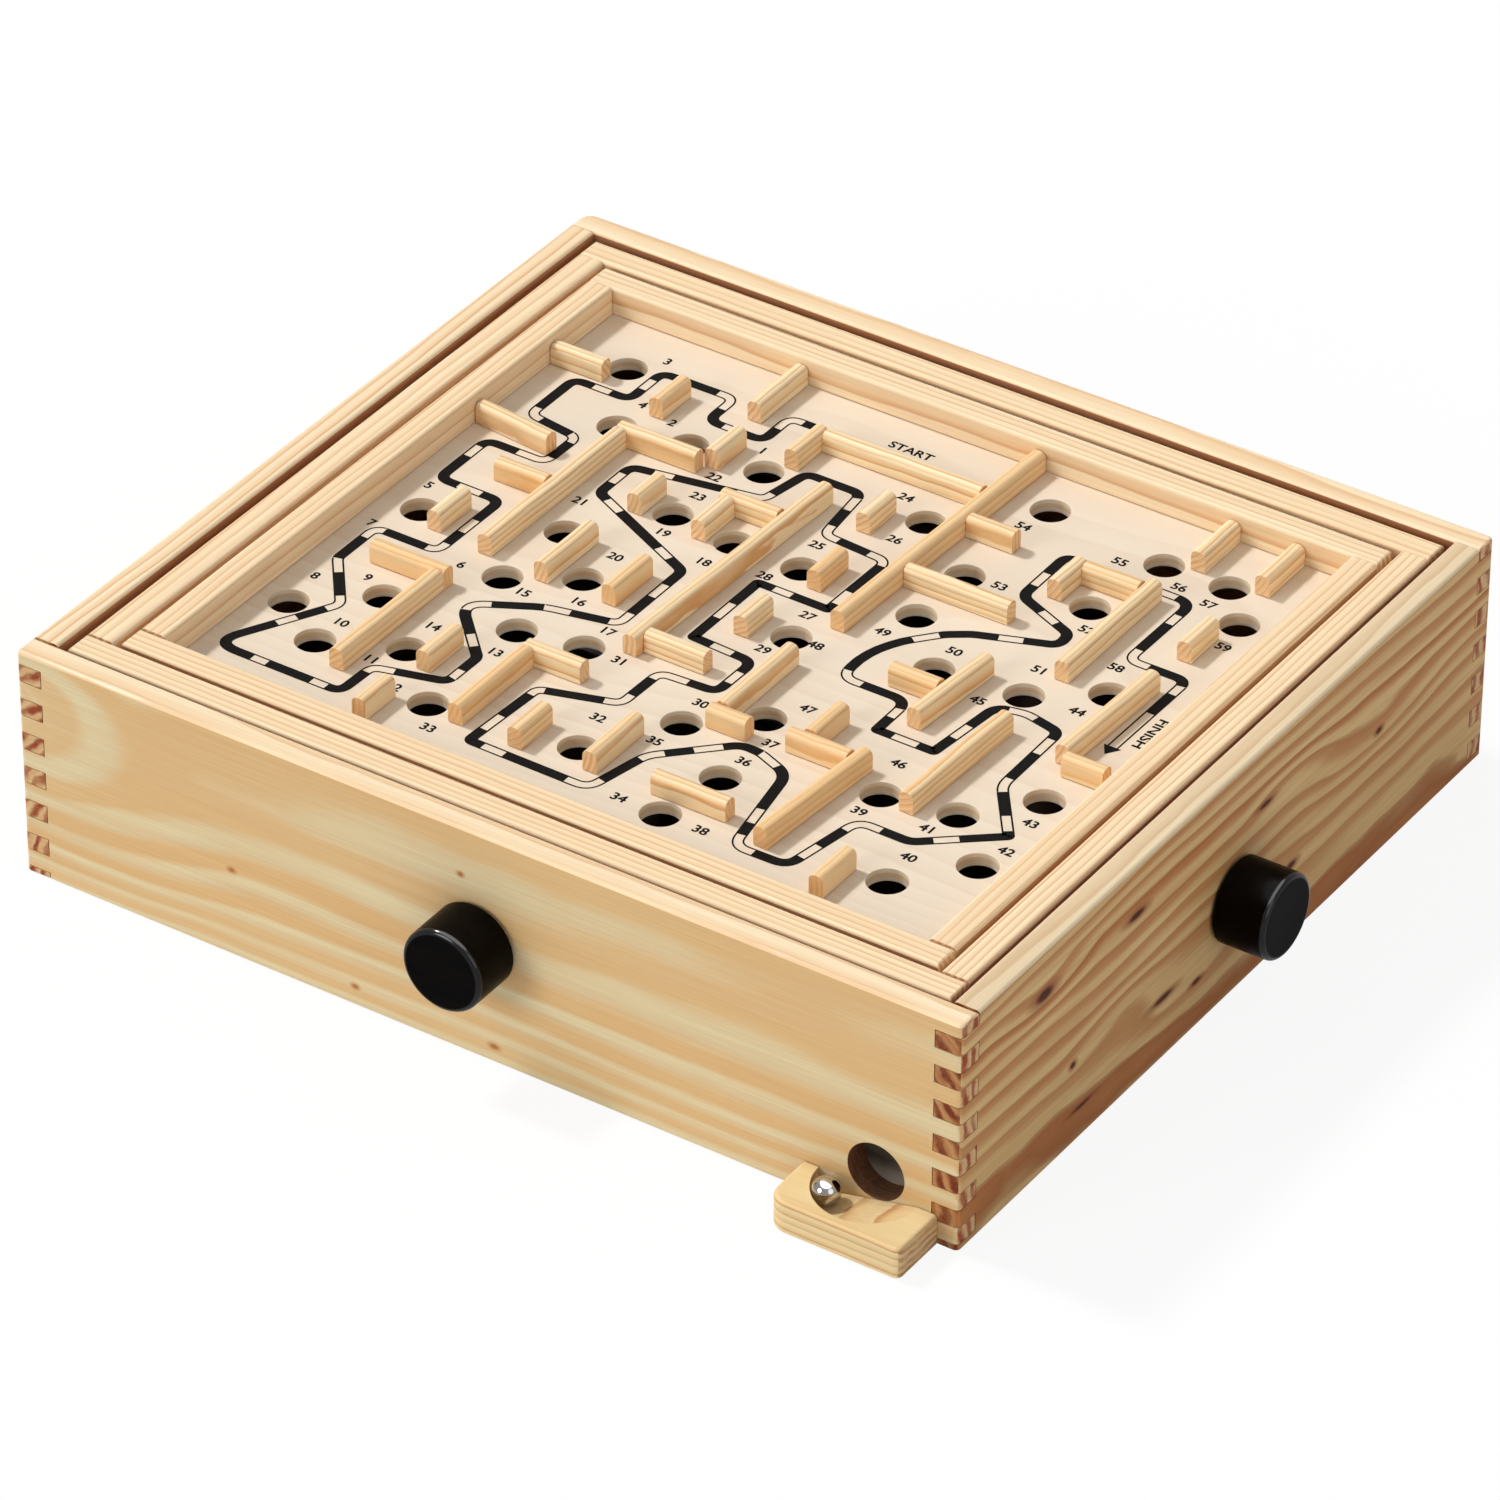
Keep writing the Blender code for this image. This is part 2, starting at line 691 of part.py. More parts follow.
def make_axle(name, carrier, start, end):
    start, end = Vector(start), Vector(end)
    half = (end - start) / 2
    shape = bmesh.new()
    add_rod(shape, -half, half, axle_radius, axle_steps)
    mesh = new_mesh(name, shape, smooth=True)
    add_piece(name, mesh, spring_steel, carrier, (start + end) / 2)


def make_controls():
    quarter = math.radians(90)
    into_knob = knob_clearance + knob_bore_depth - gap
    front = -case_depth / 2 - knob_clearance
    right = case_width / 2 + knob_clearance
    make_knob("front_knob", front_turn, (0, front, front_axle_height), (quarter, 0, 0))
    make_axle("front_axle", front_turn,
              (0, -case_depth / 2 - into_knob, front_axle_height),
              (0, frame_reach_y + axle_seat - gap, front_axle_height))
    make_knob("right_knob", right_turn, (right, 0, right_axle_height), (0, quarter, 0))
    make_axle("right_axle", right_turn,
              (case_width / 2 + into_knob, 0, right_axle_height),
              (-frame_reach_x - axle_seat + gap, 0, right_axle_height))


# Cords: each comes down from one rail, winds over its axle and goes up to the other.
# Their points are (along the axle, across it, height), with the axle at zero across.

def run_angle(reach, axle_height):
    # Slope of the straight run between the winding's top and the bend at the rail
    across, rise = reach - cord_bend, rail_bottom - axle_height
    lean = math.asin((cord_path_radius + cord_bend) / math.hypot(across, rise))
    return math.atan2(rise, across) - lean


def rail_end(side, reach, angle):
    # From the run's end round a small bend and up into the rail's hole
    along = side * cord_turns * cord_pitch / 2
    points = []
    for step in range(bend_steps + 1):
        turn = (math.radians(90) - angle) * (1 - step / bend_steps)
        across = reach - cord_bend * (1 - math.cos(turn))
        points.append(Vector((along, side * across, rail_bottom - cord_bend * math.sin(turn))))
    points.append(Vector((along, side * reach, rail_bottom + cord_seat - gap)))
    return points


def winding(axle_height, angle):
    points = []
    swept = 2 * math.pi * cord_turns - 2 * angle
    steps = cord_turns * cord_steps
    for step in range(steps + 1):
        turn = angle + swept * step / steps
        along = cord_turns * cord_pitch * (step / steps - 0.5)
        points.append(Vector((along, cord_path_radius * math.sin(turn),
                              axle_height + cord_path_radius * math.cos(turn))))
    return points


def least_gap(points):
    # Between the turns of a winding, on points at least half a turn apart
    apart = cord_steps // 2
    spans = [(one - other).length for index, one in enumerate(points)
             for other in points[index + apart:]]
    return min(spans) - 2 * cord_radius


def add_tube(name, points, radii, finish, carrier, along_x):
    curve = bpy.data.curves.new(name, "CURVE")
    curve.dimensions = "3D"
    curve.bevel_depth = cord_radius
    curve.bevel_resolution = 1
    curve.use_fill_caps = True
    spline = curve.splines.new("POLY")
    spline.points.add(len(points) - 1)
    for knot, (along, across, height), radius in zip(spline.points, points, radii):
        place = (cord_offset + along, across) if along_x else (across, cord_offset + along)
        knot.co = (*(Vector((*place, height)) - places[carrier.name]), 1)
        knot.radius = radius / cord_radius
    add_piece(name, curve, finish, carrier, places[carrier.name])


def make_cord(name, carrier, reach, axle_height, along_x):
    # The spring is in the run to the right or to the back, and takes its rail end
    angle = run_angle(reach, axle_height)
    turns = winding(axle_height, angle)
    far_end = rail_end(1, reach, angle)
    run = Vector((0, math.cos(angle), math.sin(angle)))
    spring_end = far_end[0] - run * spring_from_rail
    spring_start = spring_end - run * spring_length
    leg_start = spring_start - run * spring_leg
    points = rail_end(-1, reach, angle)[::-1] + turns + [leg_start - run * gap]
    add_tube(name + "_cord", points, [cord_radius] * len(points), black_cord, carrier, along_x)
    points = [leg_start, spring_start - run * gap, spring_start, spring_end,
              spring_end + run * gap] + far_end
    radii = [cord_radius] * len(points)
    radii[2] = radii[3] = spring_radius
    add_tube(name + "_cord_spring", points, radii, spring_steel, carrier, along_x)
    print("least gap in the winding of", name, "cord:", round(least_gap(turns), 5))


# The whole game

places = {}
case = new_carrier("case", None, (0, 0, 0))
case.location = (-knob_reach / 2, front_reach / 2, 0)
outer_tilt = new_carrier("outer_tilt", case, (0, 0, pivot_height))
maze_tilt = new_carrier("maze_tilt", outer_tilt, (0, 0, pivot_height))
front_turn = new_carrier("front_turn", case, (0, 0, front_axle_height))
right_turn = new_carrier("right_turn", case, (0, 0, right_axle_height))

make_case()
make_ramp_floor()
make_ball_tray()
make_steel_ball()
make_outer_frame()
make_inner_frame()
make_pins()
make_board()
make_walls()
make_controls()
make_cord("outer", outer_tilt, outer_reach_y - outer_rail_width / 2, right_axle_height, True)
make_cord("maze", maze_tilt, inner_reach_x - maze_cord_inset(), front_axle_height, False)
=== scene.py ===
# Looks of the labyrinth game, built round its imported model.
# Lengths are in metres. The front, with the ball tray, faces -Y.

import math
import random

import bmesh
import bpy
from mathutils import Matrix, Vector


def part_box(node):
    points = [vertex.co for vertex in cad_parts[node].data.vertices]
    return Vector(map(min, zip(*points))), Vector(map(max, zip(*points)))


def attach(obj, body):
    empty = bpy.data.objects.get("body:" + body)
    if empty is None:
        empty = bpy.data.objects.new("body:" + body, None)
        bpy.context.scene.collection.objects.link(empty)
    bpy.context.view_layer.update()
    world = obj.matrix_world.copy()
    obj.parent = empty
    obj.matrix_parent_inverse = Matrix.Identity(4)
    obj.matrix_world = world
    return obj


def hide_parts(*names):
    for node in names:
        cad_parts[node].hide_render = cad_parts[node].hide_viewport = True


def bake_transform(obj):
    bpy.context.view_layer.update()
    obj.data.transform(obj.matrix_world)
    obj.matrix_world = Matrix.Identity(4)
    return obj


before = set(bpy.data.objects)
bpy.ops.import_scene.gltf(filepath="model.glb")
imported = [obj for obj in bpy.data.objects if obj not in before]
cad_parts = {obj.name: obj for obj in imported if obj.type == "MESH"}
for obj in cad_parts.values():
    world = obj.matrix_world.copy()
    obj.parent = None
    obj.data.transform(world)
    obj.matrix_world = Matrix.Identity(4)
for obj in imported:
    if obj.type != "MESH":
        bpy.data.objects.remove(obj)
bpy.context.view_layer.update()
mm = 0.001
xWay, yWay, up = Vector((1, 0, 0)), Vector((0, 1, 0)), Vector((0, 0, 1))
chance = random.Random(11)

# Where the case stands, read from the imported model
frontLow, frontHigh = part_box("front_panel")
backLow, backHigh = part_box("back_panel")
caseWidth = frontHigh.x - frontLow.x
caseDepth = backHigh.y - frontLow.y
caseHeight = frontHigh.z - frontLow.z
caseMiddle = Vector(((frontLow.x + frontHigh.x) / 2, (frontLow.y + backHigh.y) / 2, 0))
boardLow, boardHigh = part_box("maze_board")
boardTop = boardHigh.z
print("frame loaded, case", [round(side / mm, 1) for side in (caseWidth, caseDepth, caseHeight)])


def linked(name, data):
    made = bpy.data.objects.new(name, data)
    bpy.context.scene.collection.objects.link(made)
    return made


# Camera, at the photograph's angle

camera = {
    "lens": 215.4, "sensor": 36.0, "turn": 33.51, "height": 35.09, "roll": 0.30,
    "distance": 2.461, "right": -3.1 * mm, "up": 16.5 * mm, "nearest": 0.05, "farthest": 50,
}


def placeCamera():
    data = bpy.data.cameras.new("photoCamera")
    data.lens, data.sensor_width = camera["lens"], camera["sensor"]
    data.clip_start, data.clip_end = camera["nearest"], camera["farthest"]
    turn, height, roll = [math.radians(camera[name]) for name in ("turn", "height", "roll")]
    back = Vector((math.sin(turn) * math.cos(height), -math.cos(turn) * math.cos(height),
                   math.sin(height)))
    side = Vector((math.cos(turn), math.sin(turn), 0))
    top = back.cross(side)
    place = back * camera["distance"] + side * camera["right"] + top * camera["up"]
    rows = (side * math.cos(roll) + top * math.sin(roll),
            top * math.cos(roll) - side * math.sin(roll), back)
    taker = linked("photoCamera", data)
    taker.matrix_world = Matrix.Translation(caseMiddle + place) @ Matrix(rows).transposed().to_4x4()
    bpy.context.scene.camera = taker


placeCamera()
print("camera placed")


# Shader sums, written as Python expressions

def paint(red, green, blue):
    # a colour as a screen shows it, 0 to 255, turned into light
    shares = [part / 255 for part in (red, green, blue)]
    return (*[part / 12.92 if part < 0.04045 else ((part + 0.055) / 1.055) ** 2.4
              for part in shares], 1)


class Field:
    # a value that changes over a surface: a socket of a material's nodes

    def __init__(self, tree, socket=None):
        self.tree, self.socket = tree, socket

    def node(self, kind, settings, values, output=0):
        made = self.tree.nodes.new(kind)
        for name, setting in settings.items():
            if name == "stops":
                ramp = made.color_ramp
                while len(ramp.elements) < len(setting):
                    ramp.elements.new(0.5)
                for element, (place, shade) in zip(ramp.elements, setting):
                    element.position, element.color = place, (shade, shade, shade, 1)
            else:
                setattr(made, name, setting)
        for name, value in values.items():
            if isinstance(value, Field):
                self.tree.links.new(value.socket, made.inputs[name])
            else:
                made.inputs[name].default_value = value
        return Field(self.tree, made.outputs[output])

    def maths(self, operation, first, second=0.0, output=0):
        pair = (first, second)
        kind = "ShaderNodeMath"
        if any(isinstance(part, tuple) or isinstance(part, Field) and part.socket.type == "VECTOR"
               for part in pair):
            kind = "ShaderNodeVectorMath"
            pair = [(part,) * 3 if isinstance(part, (int, float)) else part for part in pair]
        return self.node(kind, {"operation": operation}, dict(enumerate(pair)), output)

    def __add__(self, other):
        return self.maths("ADD", self, other)

    def __radd__(self, other):
        return self.maths("ADD", other, self)

    def __sub__(self, other):
        return self.maths("SUBTRACT", self, other)

    def __rsub__(self, other):
        return self.maths("SUBTRACT", other, self)

    def __mul__(self, other):
        return self.maths("MULTIPLY", self, other)

    def __rmul__(self, other):
        return self.maths("MULTIPLY", other, self)

    def __truediv__(self, other):
        return self.maths("DIVIDE", self, other)

    def __mod__(self, other):
        return self.maths("FLOORED_MODULO", self, other)

    def least(self, limit):
        return self.maths("MINIMUM", self, limit)

    def length(self):
        return self.maths("LENGTH", self, (0.0, 0.0, 0.0), output=1)

    def noise(self, cells, detail=2.0, roughness=0.5):
        # noise from 0 to 1, with this many cells a metre along each axis
        return self.node("ShaderNodeTexNoise", {}, {
            "Vector": self * cells, "Scale": 1.0, "Detail": detail, "Roughness": roughness})

    def ramp(self, *stops):
        return self.node("ShaderNodeValToRGB", {"stops": stops}, {"Fac": self})

    def mix(self, first, second):
        # from the first colour to the second as this value goes from 0 to 1
        return self.node("ShaderNodeMix", {"data_type": "RGBA"}, {0: self, 6: first, 7: second}, 2)

    def bump(self, strength, depth):
        return self.node("ShaderNodeBump", {}, {
            "Strength": strength, "Distance": depth, "Height": self})


surfaces = {}


def newSurface(name, constants, pattern, *values):
    # a material with steady values, and a pattern that gives what varies over it
    material = bpy.data.materials.new(name)
    material.use_nodes = True
    tree = material.node_tree
    shader = tree.nodes["Principled BSDF"]
    for socket, value in constants.items():
        shader.inputs[socket].default_value = value
    for socket, field in pattern(Field(tree), *values).items():
        tree.links.new(field.socket, shader.inputs[socket])
    surfaces[name] = material


def grainPlace(start):
    # where a point lay in its log, in metres, along the grain first
    return start.node("ShaderNodeAttribute", {"attribute_name": "grain"}, {}, 1)


def attribute(start, name):
    return start.node("ShaderNodeAttribute", {"attribute_name": name}, {}, 2)


def objectPlace(start):
    return start.node("ShaderNodeTexCoord", {}, {}, 3)


# Woods: colours, ring spacing, pith, swirls and knots in millimetres on the panel's face

plainWood = {
    "pith": (24, 16), "flow": (6, 26), "ripple": 0.5, "rough": 0.45, "endDepth": 1, "endRings": 1,
    "bands": ((0.0, 0.0), (0.3, 0.1), (0.8, 0.75), (0.93, 0.85), (1.0, 0.0)),
    "swirls": (), "knots": (),
}
woods = {
    "frontPine": {
        "pale": (223, 212, 171), "dark": (217, 176, 119), "late": (190, 130, 74),
        "ends": (148, 62, 24), "endRings": 0.45, "spacing": 1.9, "pith": (175, 58),
        "wander": 2.6, "ripple": 0.25, "lines": 0.26, "fibre": 0.3, "rough": 0.42,
        "bands": ((0.0, 0.6), (0.1, 0.95), (0.43, 1.0), (0.6, 0.12), (0.9, 0.0), (1.0, 0.6)),
        "swirls": ((-155, 54, 50, 34, -2.6), (-130, 22, 62, 34, -1.3), (60, 22, 80, 22, -0.5)),
        "knots": ((-80, 28, 1.2, 0.8), (-40, 6, 1.2, 0.8), (5, 5, 1.6, 0.9), (-5, 57, 1, 0.8)),
        "knot": (168, 112, 64),
    },
    "sidePine": {
        "pale": (219, 188, 131), "dark": (176, 109, 55), "late": (140, 74, 34),
        "ends": (116, 46, 20), "endRings": 0.7, "spacing": 3.5, "pith": (70, 0),
        "wander": 11.0, "flow": (5, 22), "lines": 0.5, "fibre": 0.28, "rough": 0.5,
        "bands": ((0.0, 0.0), (0.3, 0.1), (0.62, 0.9), (0.86, 1.0), (0.97, 0.1), (1.0, 0.0)),
        "swirls": ((-95, 58, 30, 10, 2.6), (-20, 16, 44, 9, 2.2), (75, 42, 44, 12, 3.0),
                   (30, 54, 34, 8, -2.0), (-55, 30, 36, 10, -2.2)),
        "knots": ((-95, 58, 5, 2.2), (-50, 56, 5, 1.4), (-80, 26, 1.6, 1.2),
                  (-35, 20, 6, 1.2), (-18, 15, 3, 1), (15, 53, 4, 1), (30, 24, 3.4, 1.4),
                  (75, 42, 2, 1.1), (-75, 10, 6, 0.8)),
        "knot": (70, 22, 8),
    },
    # painted light: a paler wood for the right panel's top edge, where light falls on the top
    "topPine": {
        "pale": (234, 215, 180), "dark": (214, 182, 140), "late": (180, 138, 100),
        "ends": (160, 82, 44), "spacing": 2.6, "wander": 3.4, "lines": 0.45, "fibre": 0.24,
    },
    "railPine": {
        "pale": (250, 233, 198), "dark": (236, 196, 146), "late": (206, 146, 102),
        "ends": (160, 82, 44), "endDepth": 0.6, "spacing": 2.1, "wander": 3.4,
        "lines": 0.6, "fibre": 0.26,
    },
    "stickPine": {
        "pale": (251, 235, 197), "dark": (230, 178, 112), "late": (198, 128, 74),
        "ends": (206, 130, 82), "endDepth": 0.45, "spacing": 1.6, "pith": (22, 14),
        "wander": 1.8, "flow": (14, 60), "lines": 0.5, "fibre": 0.14,
    },
    "trayPine": {
        "pale": (228, 207, 158), "dark": (212, 172, 116), "late": (170, 104, 56),
        "ends": (134, 58, 30), "endDepth": 0.6, "spacing": 2.4, "pith": (-144, 140),
        "wander": 2.2, "flow": (12, 50), "ripple": 0.4, "lines": 0.75, "fibre": 0.14,
        "rough": 0.42,
    },
    # painted shade: a dark wood for the walls of holes, over their own rough end grain
    "shadedBorePine": {
        "pale": (146, 108, 78), "dark": (108, 70, 46), "late": (80, 48, 30),
        "ends": (88, 52, 32), "endDepth": 0.5, "spacing": 1.9, "pith": (175, 58),
        "wander": 2.6, "lines": 0.3, "fibre": 0.9, "rough": 0.75,
        "bands": ((0.0, 0.3), (0.5, 0.6), (1.0, 0.3)),
    },
}
birch = {
    "pale": (233, 218, 197), "dark": (223, 202, 178), "late": (216, 189, 160),
    "ends": (222, 190, 148), "spacing": 2.6, "pith": (60, 260), "wander": 9.0,
    "flow": (8, 26), "lines": 0.2, "fibre": 0.1, "rough": 0.5,
    "bands": ((0.0, 0.0), (0.5, 0.3), (0.9, 0.5), (1.0, 0.0)),
}
grainCells = {
    "fibre": (18, 1500, 1500), "streak": (9, 260, 260), "curl": (20, 190, 190),
    "pores": (60, 1400, 1400), "core": (150, 150, 700),
}
grainShares = {
    "bandYears": 0.4, "lineYears": 0.8, "endTone": 0.5, "endPores": 0.15, "endStripes": 0.9,
    "endGround": 0.05, "tint": 0.55, "uneven": 0.12, "knotHalo": 0.5, "stripeRelief": 0.4,
}


def tonesOf(look):
    return {name: paint(*look[name]) for name in ("pale", "dark", "late", "ends")}


def spotDistance(place, along, height, length, width):
    # from 0 in the middle of an ellipse on the face of a board to 1 at its rim
    return ((place - (along * mm, 0.0, height * mm)) *
            (1 / (length * mm), 0.0, 1 / (width * mm))).length()


def woodColours(start, look):
    # rings round a pith that lies along the grain, seen on whatever face cuts them
    place, tones = grainPlace(start), tonesOf(look)
    along, across = look["flow"]
    wander = place.noise((along, across, across), 1.5) - 0.5
    ripple = place.noise((along * 5, across * 4, across * 4)) - 0.5
    pith = tuple(part * mm for part in (0, *look["pith"]))
    radius = (place * (0.0, 1.0, 1.0) - pith).length() + wander * (look["wander"] * mm)
    for *spot, shift in look["swirls"]:
        away = spotDistance(place, *spot)
        near = 1 - (away * away).least(1.0)
        radius = radius + near * near * (shift * mm)
    rings = radius / (look["spacing"] * mm) + ripple * look["ripple"]
    phase = rings % 1.0
    year = start.node("ShaderNodeTexWhiteNoise", {"noise_dimensions": "1D"},
                      {"W": rings.maths("FLOOR", rings)})
    bandYears, lineYears = grainShares["bandYears"], grainShares["lineYears"]
    band = phase.ramp(*look["bands"]) * (year * bandYears + (1 - bandYears))
    line = phase.ramp((0.72, 0.0), (0.9, 1.0), (0.97, 0.8), (1.0, 0.0)) * (
        year * lineYears + (1 - lineYears))
    fibre = place.noise(grainCells["fibre"], 3.0, 0.6)
    streak = place.noise(grainCells["streak"]).ramp((0.35, 0.0), (0.7, 1.0))
    colour = band.mix(tones["pale"], tones["dark"])
    colour = (line * look["lines"]).mix(colour, tones["late"])
    colour = (streak * look["fibre"]).mix(colour, tones["dark"])
    colour = (fibre.ramp((0.3, 0.0), (0.75, 1.0)) * look["fibre"]).mix(colour, tones["late"])
    for spot in look["knots"]:
        away = spotDistance(place, *spot)
        halo = (away * grainShares["knotHalo"]).ramp((0.3, 0.9), (0.95, 0.0))
        colour = halo.mix(colour, tones["late"])
        colour = away.ramp((0.45, 0.95), (0.95, 0.0)).mix(colour, paint(*look["knot"]))
    return place, colour, fibre, rings


def woodPattern(start, look):
    place, colour, fibre, rings = woodColours(start, look)
    tones = tonesOf(look)
    curl = place.noise(grainCells["curl"])
    stripes = ((rings * look["endRings"] + curl) % 1.0).ramp(
        (0.0, 0.0), (0.25, 0.15), (0.5, 1.0), (0.75, 1.0), (0.95, 0.0))
    stripes = stripes * curl.ramp((0.35, 0.6), (0.6, 1.0))
    # 1 on a face across the grain, a little above 0 for the painted shade in the tray's scoop, and
    # below 0 for the painted shade on a face that looks into a gap
    cutAndShade = attribute(start, "endCut")
    endFace = cutAndShade * look["endDepth"]
    pores = place.noise(grainCells["pores"]).ramp((0.3, 0.0), (0.7, 1.0))
    endFigure = (pores * grainShares["endPores"] + stripes * grainShares["endStripes"]
                 + grainShares["endGround"])
    # painted shade: faces that look into a gap are darkened evenly towards the end-grain colour
    colour = (cutAndShade * -1.0).mix(colour, tones["ends"])
    colour = (endFace * grainShares["endTone"]).mix(colour, tones["dark"])
    colour = (endFace * endFigure).mix(colour, tones["ends"])
    colour = (attribute(start, "tint") * grainShares["tint"]).mix(colour, tones["dark"])
    return {"Base Color": colour, "Roughness": fibre * grainShares["uneven"] + look["rough"],
            "Normal": (stripes * grainShares["stripeRelief"] + fibre).bump(0.25, 0.12 * mm)}


# worn is the reach of the pale, lit patch round the exit; beyond it shade is painted on the inside
# floor
ply = {"layers": 3, "boardThickness": 4 * mm, "floorThickness": 3 * mm,
       "exit": (124.8 * mm, -126 * mm, 0.0), "worn": 34 * mm, "unlit": (28, 15, 9)}


def plyPattern(start, thickness, exitPlace=None):
    # a veneered face, and the layers on every cut edge
    look = plainWood | birch
    place, colour, fibre = woodColours(start, look)[:3]
    tones = tonesOf(look)
    layer = start.node("ShaderNodeSeparateXYZ", {}, {0: place}, 2) / (thickness / ply["layers"])
    crossed = (layer % 2.0 * 0.5).ramp((0.0, 0.0), (0.48, 0.0), (0.52, 1.0), (1.0, 1.0))
    glue = (layer % 1.0).ramp((0.0, 1.0), (0.07, 0.0), (0.93, 0.0), (1.0, 1.0))
    core = place.noise(grainCells["core"], 3.0).ramp((0.3, 0.0), (0.75, 1.0))
    edge = (crossed * 0.7 + core * 0.3).mix(tones["pale"], tones["ends"])
    edge = (glue * 0.5).mix(edge, tones["late"])
    colour = attribute(start, "endCut").mix(colour, edge)
    if exitPlace:
        # painted shade: dark where little light comes in, left pale round the exit, where light
        # enters
        awayFromExit = (place * (1.0, 1.0, 0.0) - exitPlace).length() * (1 / ply["worn"])
        colour = awayFromExit.ramp((0.2, 0.5), (0.85, 0.995)).mix(colour, paint(*ply["unlit"]))
    return {"Base Color": colour, "Roughness": fibre * grainShares["uneven"] + look["rough"],
            "Normal": fibre.bump(0.15, 0.08 * mm)}


stain = {"pits": (260, 2600, 2600), "clouds": (50, 420, 420), "deep": (2, 2, 2),
         "warm": (11, 6, 4), "coat": 0.08, "rimCoat": 0.9, "rough": 0.24, "uneven": 0.16}


def stainPattern(start):
    # black stain on turned wood: the grain shows as fine pits, and the lacquer is thick on the rim
    place = grainPlace(start)
    pits = place.noise(stain["pits"], 3.0, 0.6)
    warm = place.noise(stain["clouds"]).ramp((0.35, 0.0), (0.8, 1.0))
    return {"Base Color": warm.mix(paint(*stain["deep"]), paint(*stain["warm"])),
            "Roughness": pits * stain["uneven"] + stain["rough"],
            "Coat Weight": attribute(start, "tint") * stain["rimCoat"] + stain["coat"],
            "Normal": pits.bump(0.3, 0.05 * mm)}


steels = {"rodSteel": {"shade": (176, 176, 180), "rough": 0.3, "scratches": 300},
          "ballSteel": {"shade": (214, 212, 210), "rough": 0.06, "scratches": 90}}


def steelPattern(start, look):
    scratch = objectPlace(start).noise((look["scratches"],) * 3, 3.0, 0.6)
    dull = [part * 0.86 for part in look["shade"]]
    return {"Base Color": scratch.mix(paint(*look["shade"]), paint(*dull)),
            "Roughness": scratch * 0.06 + look["rough"]}


ink = {"fresh": (6, 6, 6), "worn": (20, 18, 17), "cells": (900, 900, 900), "rough": 0.4}


def inkPattern(start):
    worn = objectPlace(start).noise(ink["cells"], 3.0)
    return {"Base Color": worn.ramp((0.4, 0.0), (0.8, 1.0)).mix(paint(*ink["fresh"]),
                                                                paint(*ink["worn"])),
            "Roughness": worn * 0.2 + ink["rough"]}


yarn = {"deep": (18, 18, 20), "pale": (58, 56, 56), "cells": (2500, 2500, 2500), "rough": 0.7}


def yarnPattern(start):
    twist = objectPlace(start).noise(yarn["cells"])
    return {"Base Color": twist.mix(paint(*yarn["deep"]), paint(*yarn["pale"])),
            "Roughness": twist * 0.2 + yarn["rough"], "Normal": twist.bump(0.6, 0.1 * mm)}


for name, look in woods.items():
    newSurface(name, {"Specular IOR Level": 0.22}, woodPattern, plainWood | look)
newSurface("boardPly", {"Specular IOR Level": 0.35}, plyPattern, ply["boardThickness"])
newSurface("insidePly", {"Specular IOR Level": 0.05}, plyPattern, ply["floorThickness"], ply["exit"])
newSurface("blackStain", {"Specular IOR Level": 0.02, "Coat Roughness": 0.14}, stainPattern)
for name, look in steels.items():
    newSurface(name, {"Metallic": 1.0}, steelPattern, look)
newSurface("printInk", {"Specular IOR Level": 0.06}, inkPattern)
newSurface("blackCord", {"Specular IOR Level": 0.2}, yarnPattern)
print("surfaces made:", len(surfaces))


# Shapes

fine = {"level": 0.02 * mm, "length": 0.5 * mm, "steep": math.radians(45), "upright": 0.01,
        "endFace": 0.75, "plyEdge": 0.5, "near": 0.1 * mm, "weld": 0.001 * mm}


def aboutUp(angle):
    return Matrix.Rotation(angle, 3, "Z")


def addBox(shape, low, high):
    low, high = Vector(low), Vector(high)
    made = bmesh.ops.create_cube(shape, size=1)["verts"]
    bmesh.ops.scale(shape, vec=high - low, verts=made)
    bmesh.ops.translate(shape, vec=(low + high) / 2, verts=made)
    return made


def boxShape(low, high):
    shape = bmesh.new()
    addBox(shape, low, high)
    return shape


def addRod(shape, start, end, radius, steps):
    start, end = Vector(start), Vector(end)
    turn = (end - start).to_track_quat("Z", "Y").to_matrix().to_4x4()
    return bmesh.ops.create_cone(
        shape, cap_ends=True, segments=steps, radius1=radius, radius2=radius,
        depth=(end - start).length, matrix=Matrix.Translation((start + end) / 2) @ turn)["verts"]


def roundEdges(shape, edges, radius, steps):
    bmesh.ops.bevel(shape, geom=edges, offset=radius, offset_type="OFFSET", affect="EDGES",
                    segments=steps, profile=0.5, material=-1, clamp_overlap=True)


def edgesAt(shape, height, alongAxis=None):
    # edges between a level face at this height and a steep one
    found = []
    for edge in shape.edges:
        first, second = [vert.co for vert in edge.verts]
        if max(abs(first.z - height), abs(second.z - height)) > fine["level"]:
            continue
        if alongAxis is not None and abs(first[alongAxis] - second[alongAxis]) < fine["length"]:
            continue
        if edge.calc_face_angle(0) > fine["steep"]:
            found.append(edge)
    return found


def uprightEdges(shape, chosen):
    return [edge for edge in shape.edges
            if (edge.verts[0].co - edge.verts[1].co).normalized().cross(up).length < fine["upright"]
            and all(chosen(vert.co) for vert in edge.verts)]


def shapeObject(name, shape):
    mesh = bpy.data.meshes.new(name)
    shape.to_mesh(mesh)
    shape.free()
    return linked(name, mesh)


def appliedShape(made):
    # the object's shape with its modifiers applied; the object itself goes
    evaluated = made.evaluated_get(bpy.context.evaluated_depsgraph_get())
    mesh = bpy.data.meshes.new_from_object(evaluated)
    shape = bmesh.new()
    shape.from_mesh(mesh)
    bpy.data.objects.remove(made, do_unlink=True)
    bpy.data.meshes.remove(mesh)
    return shape


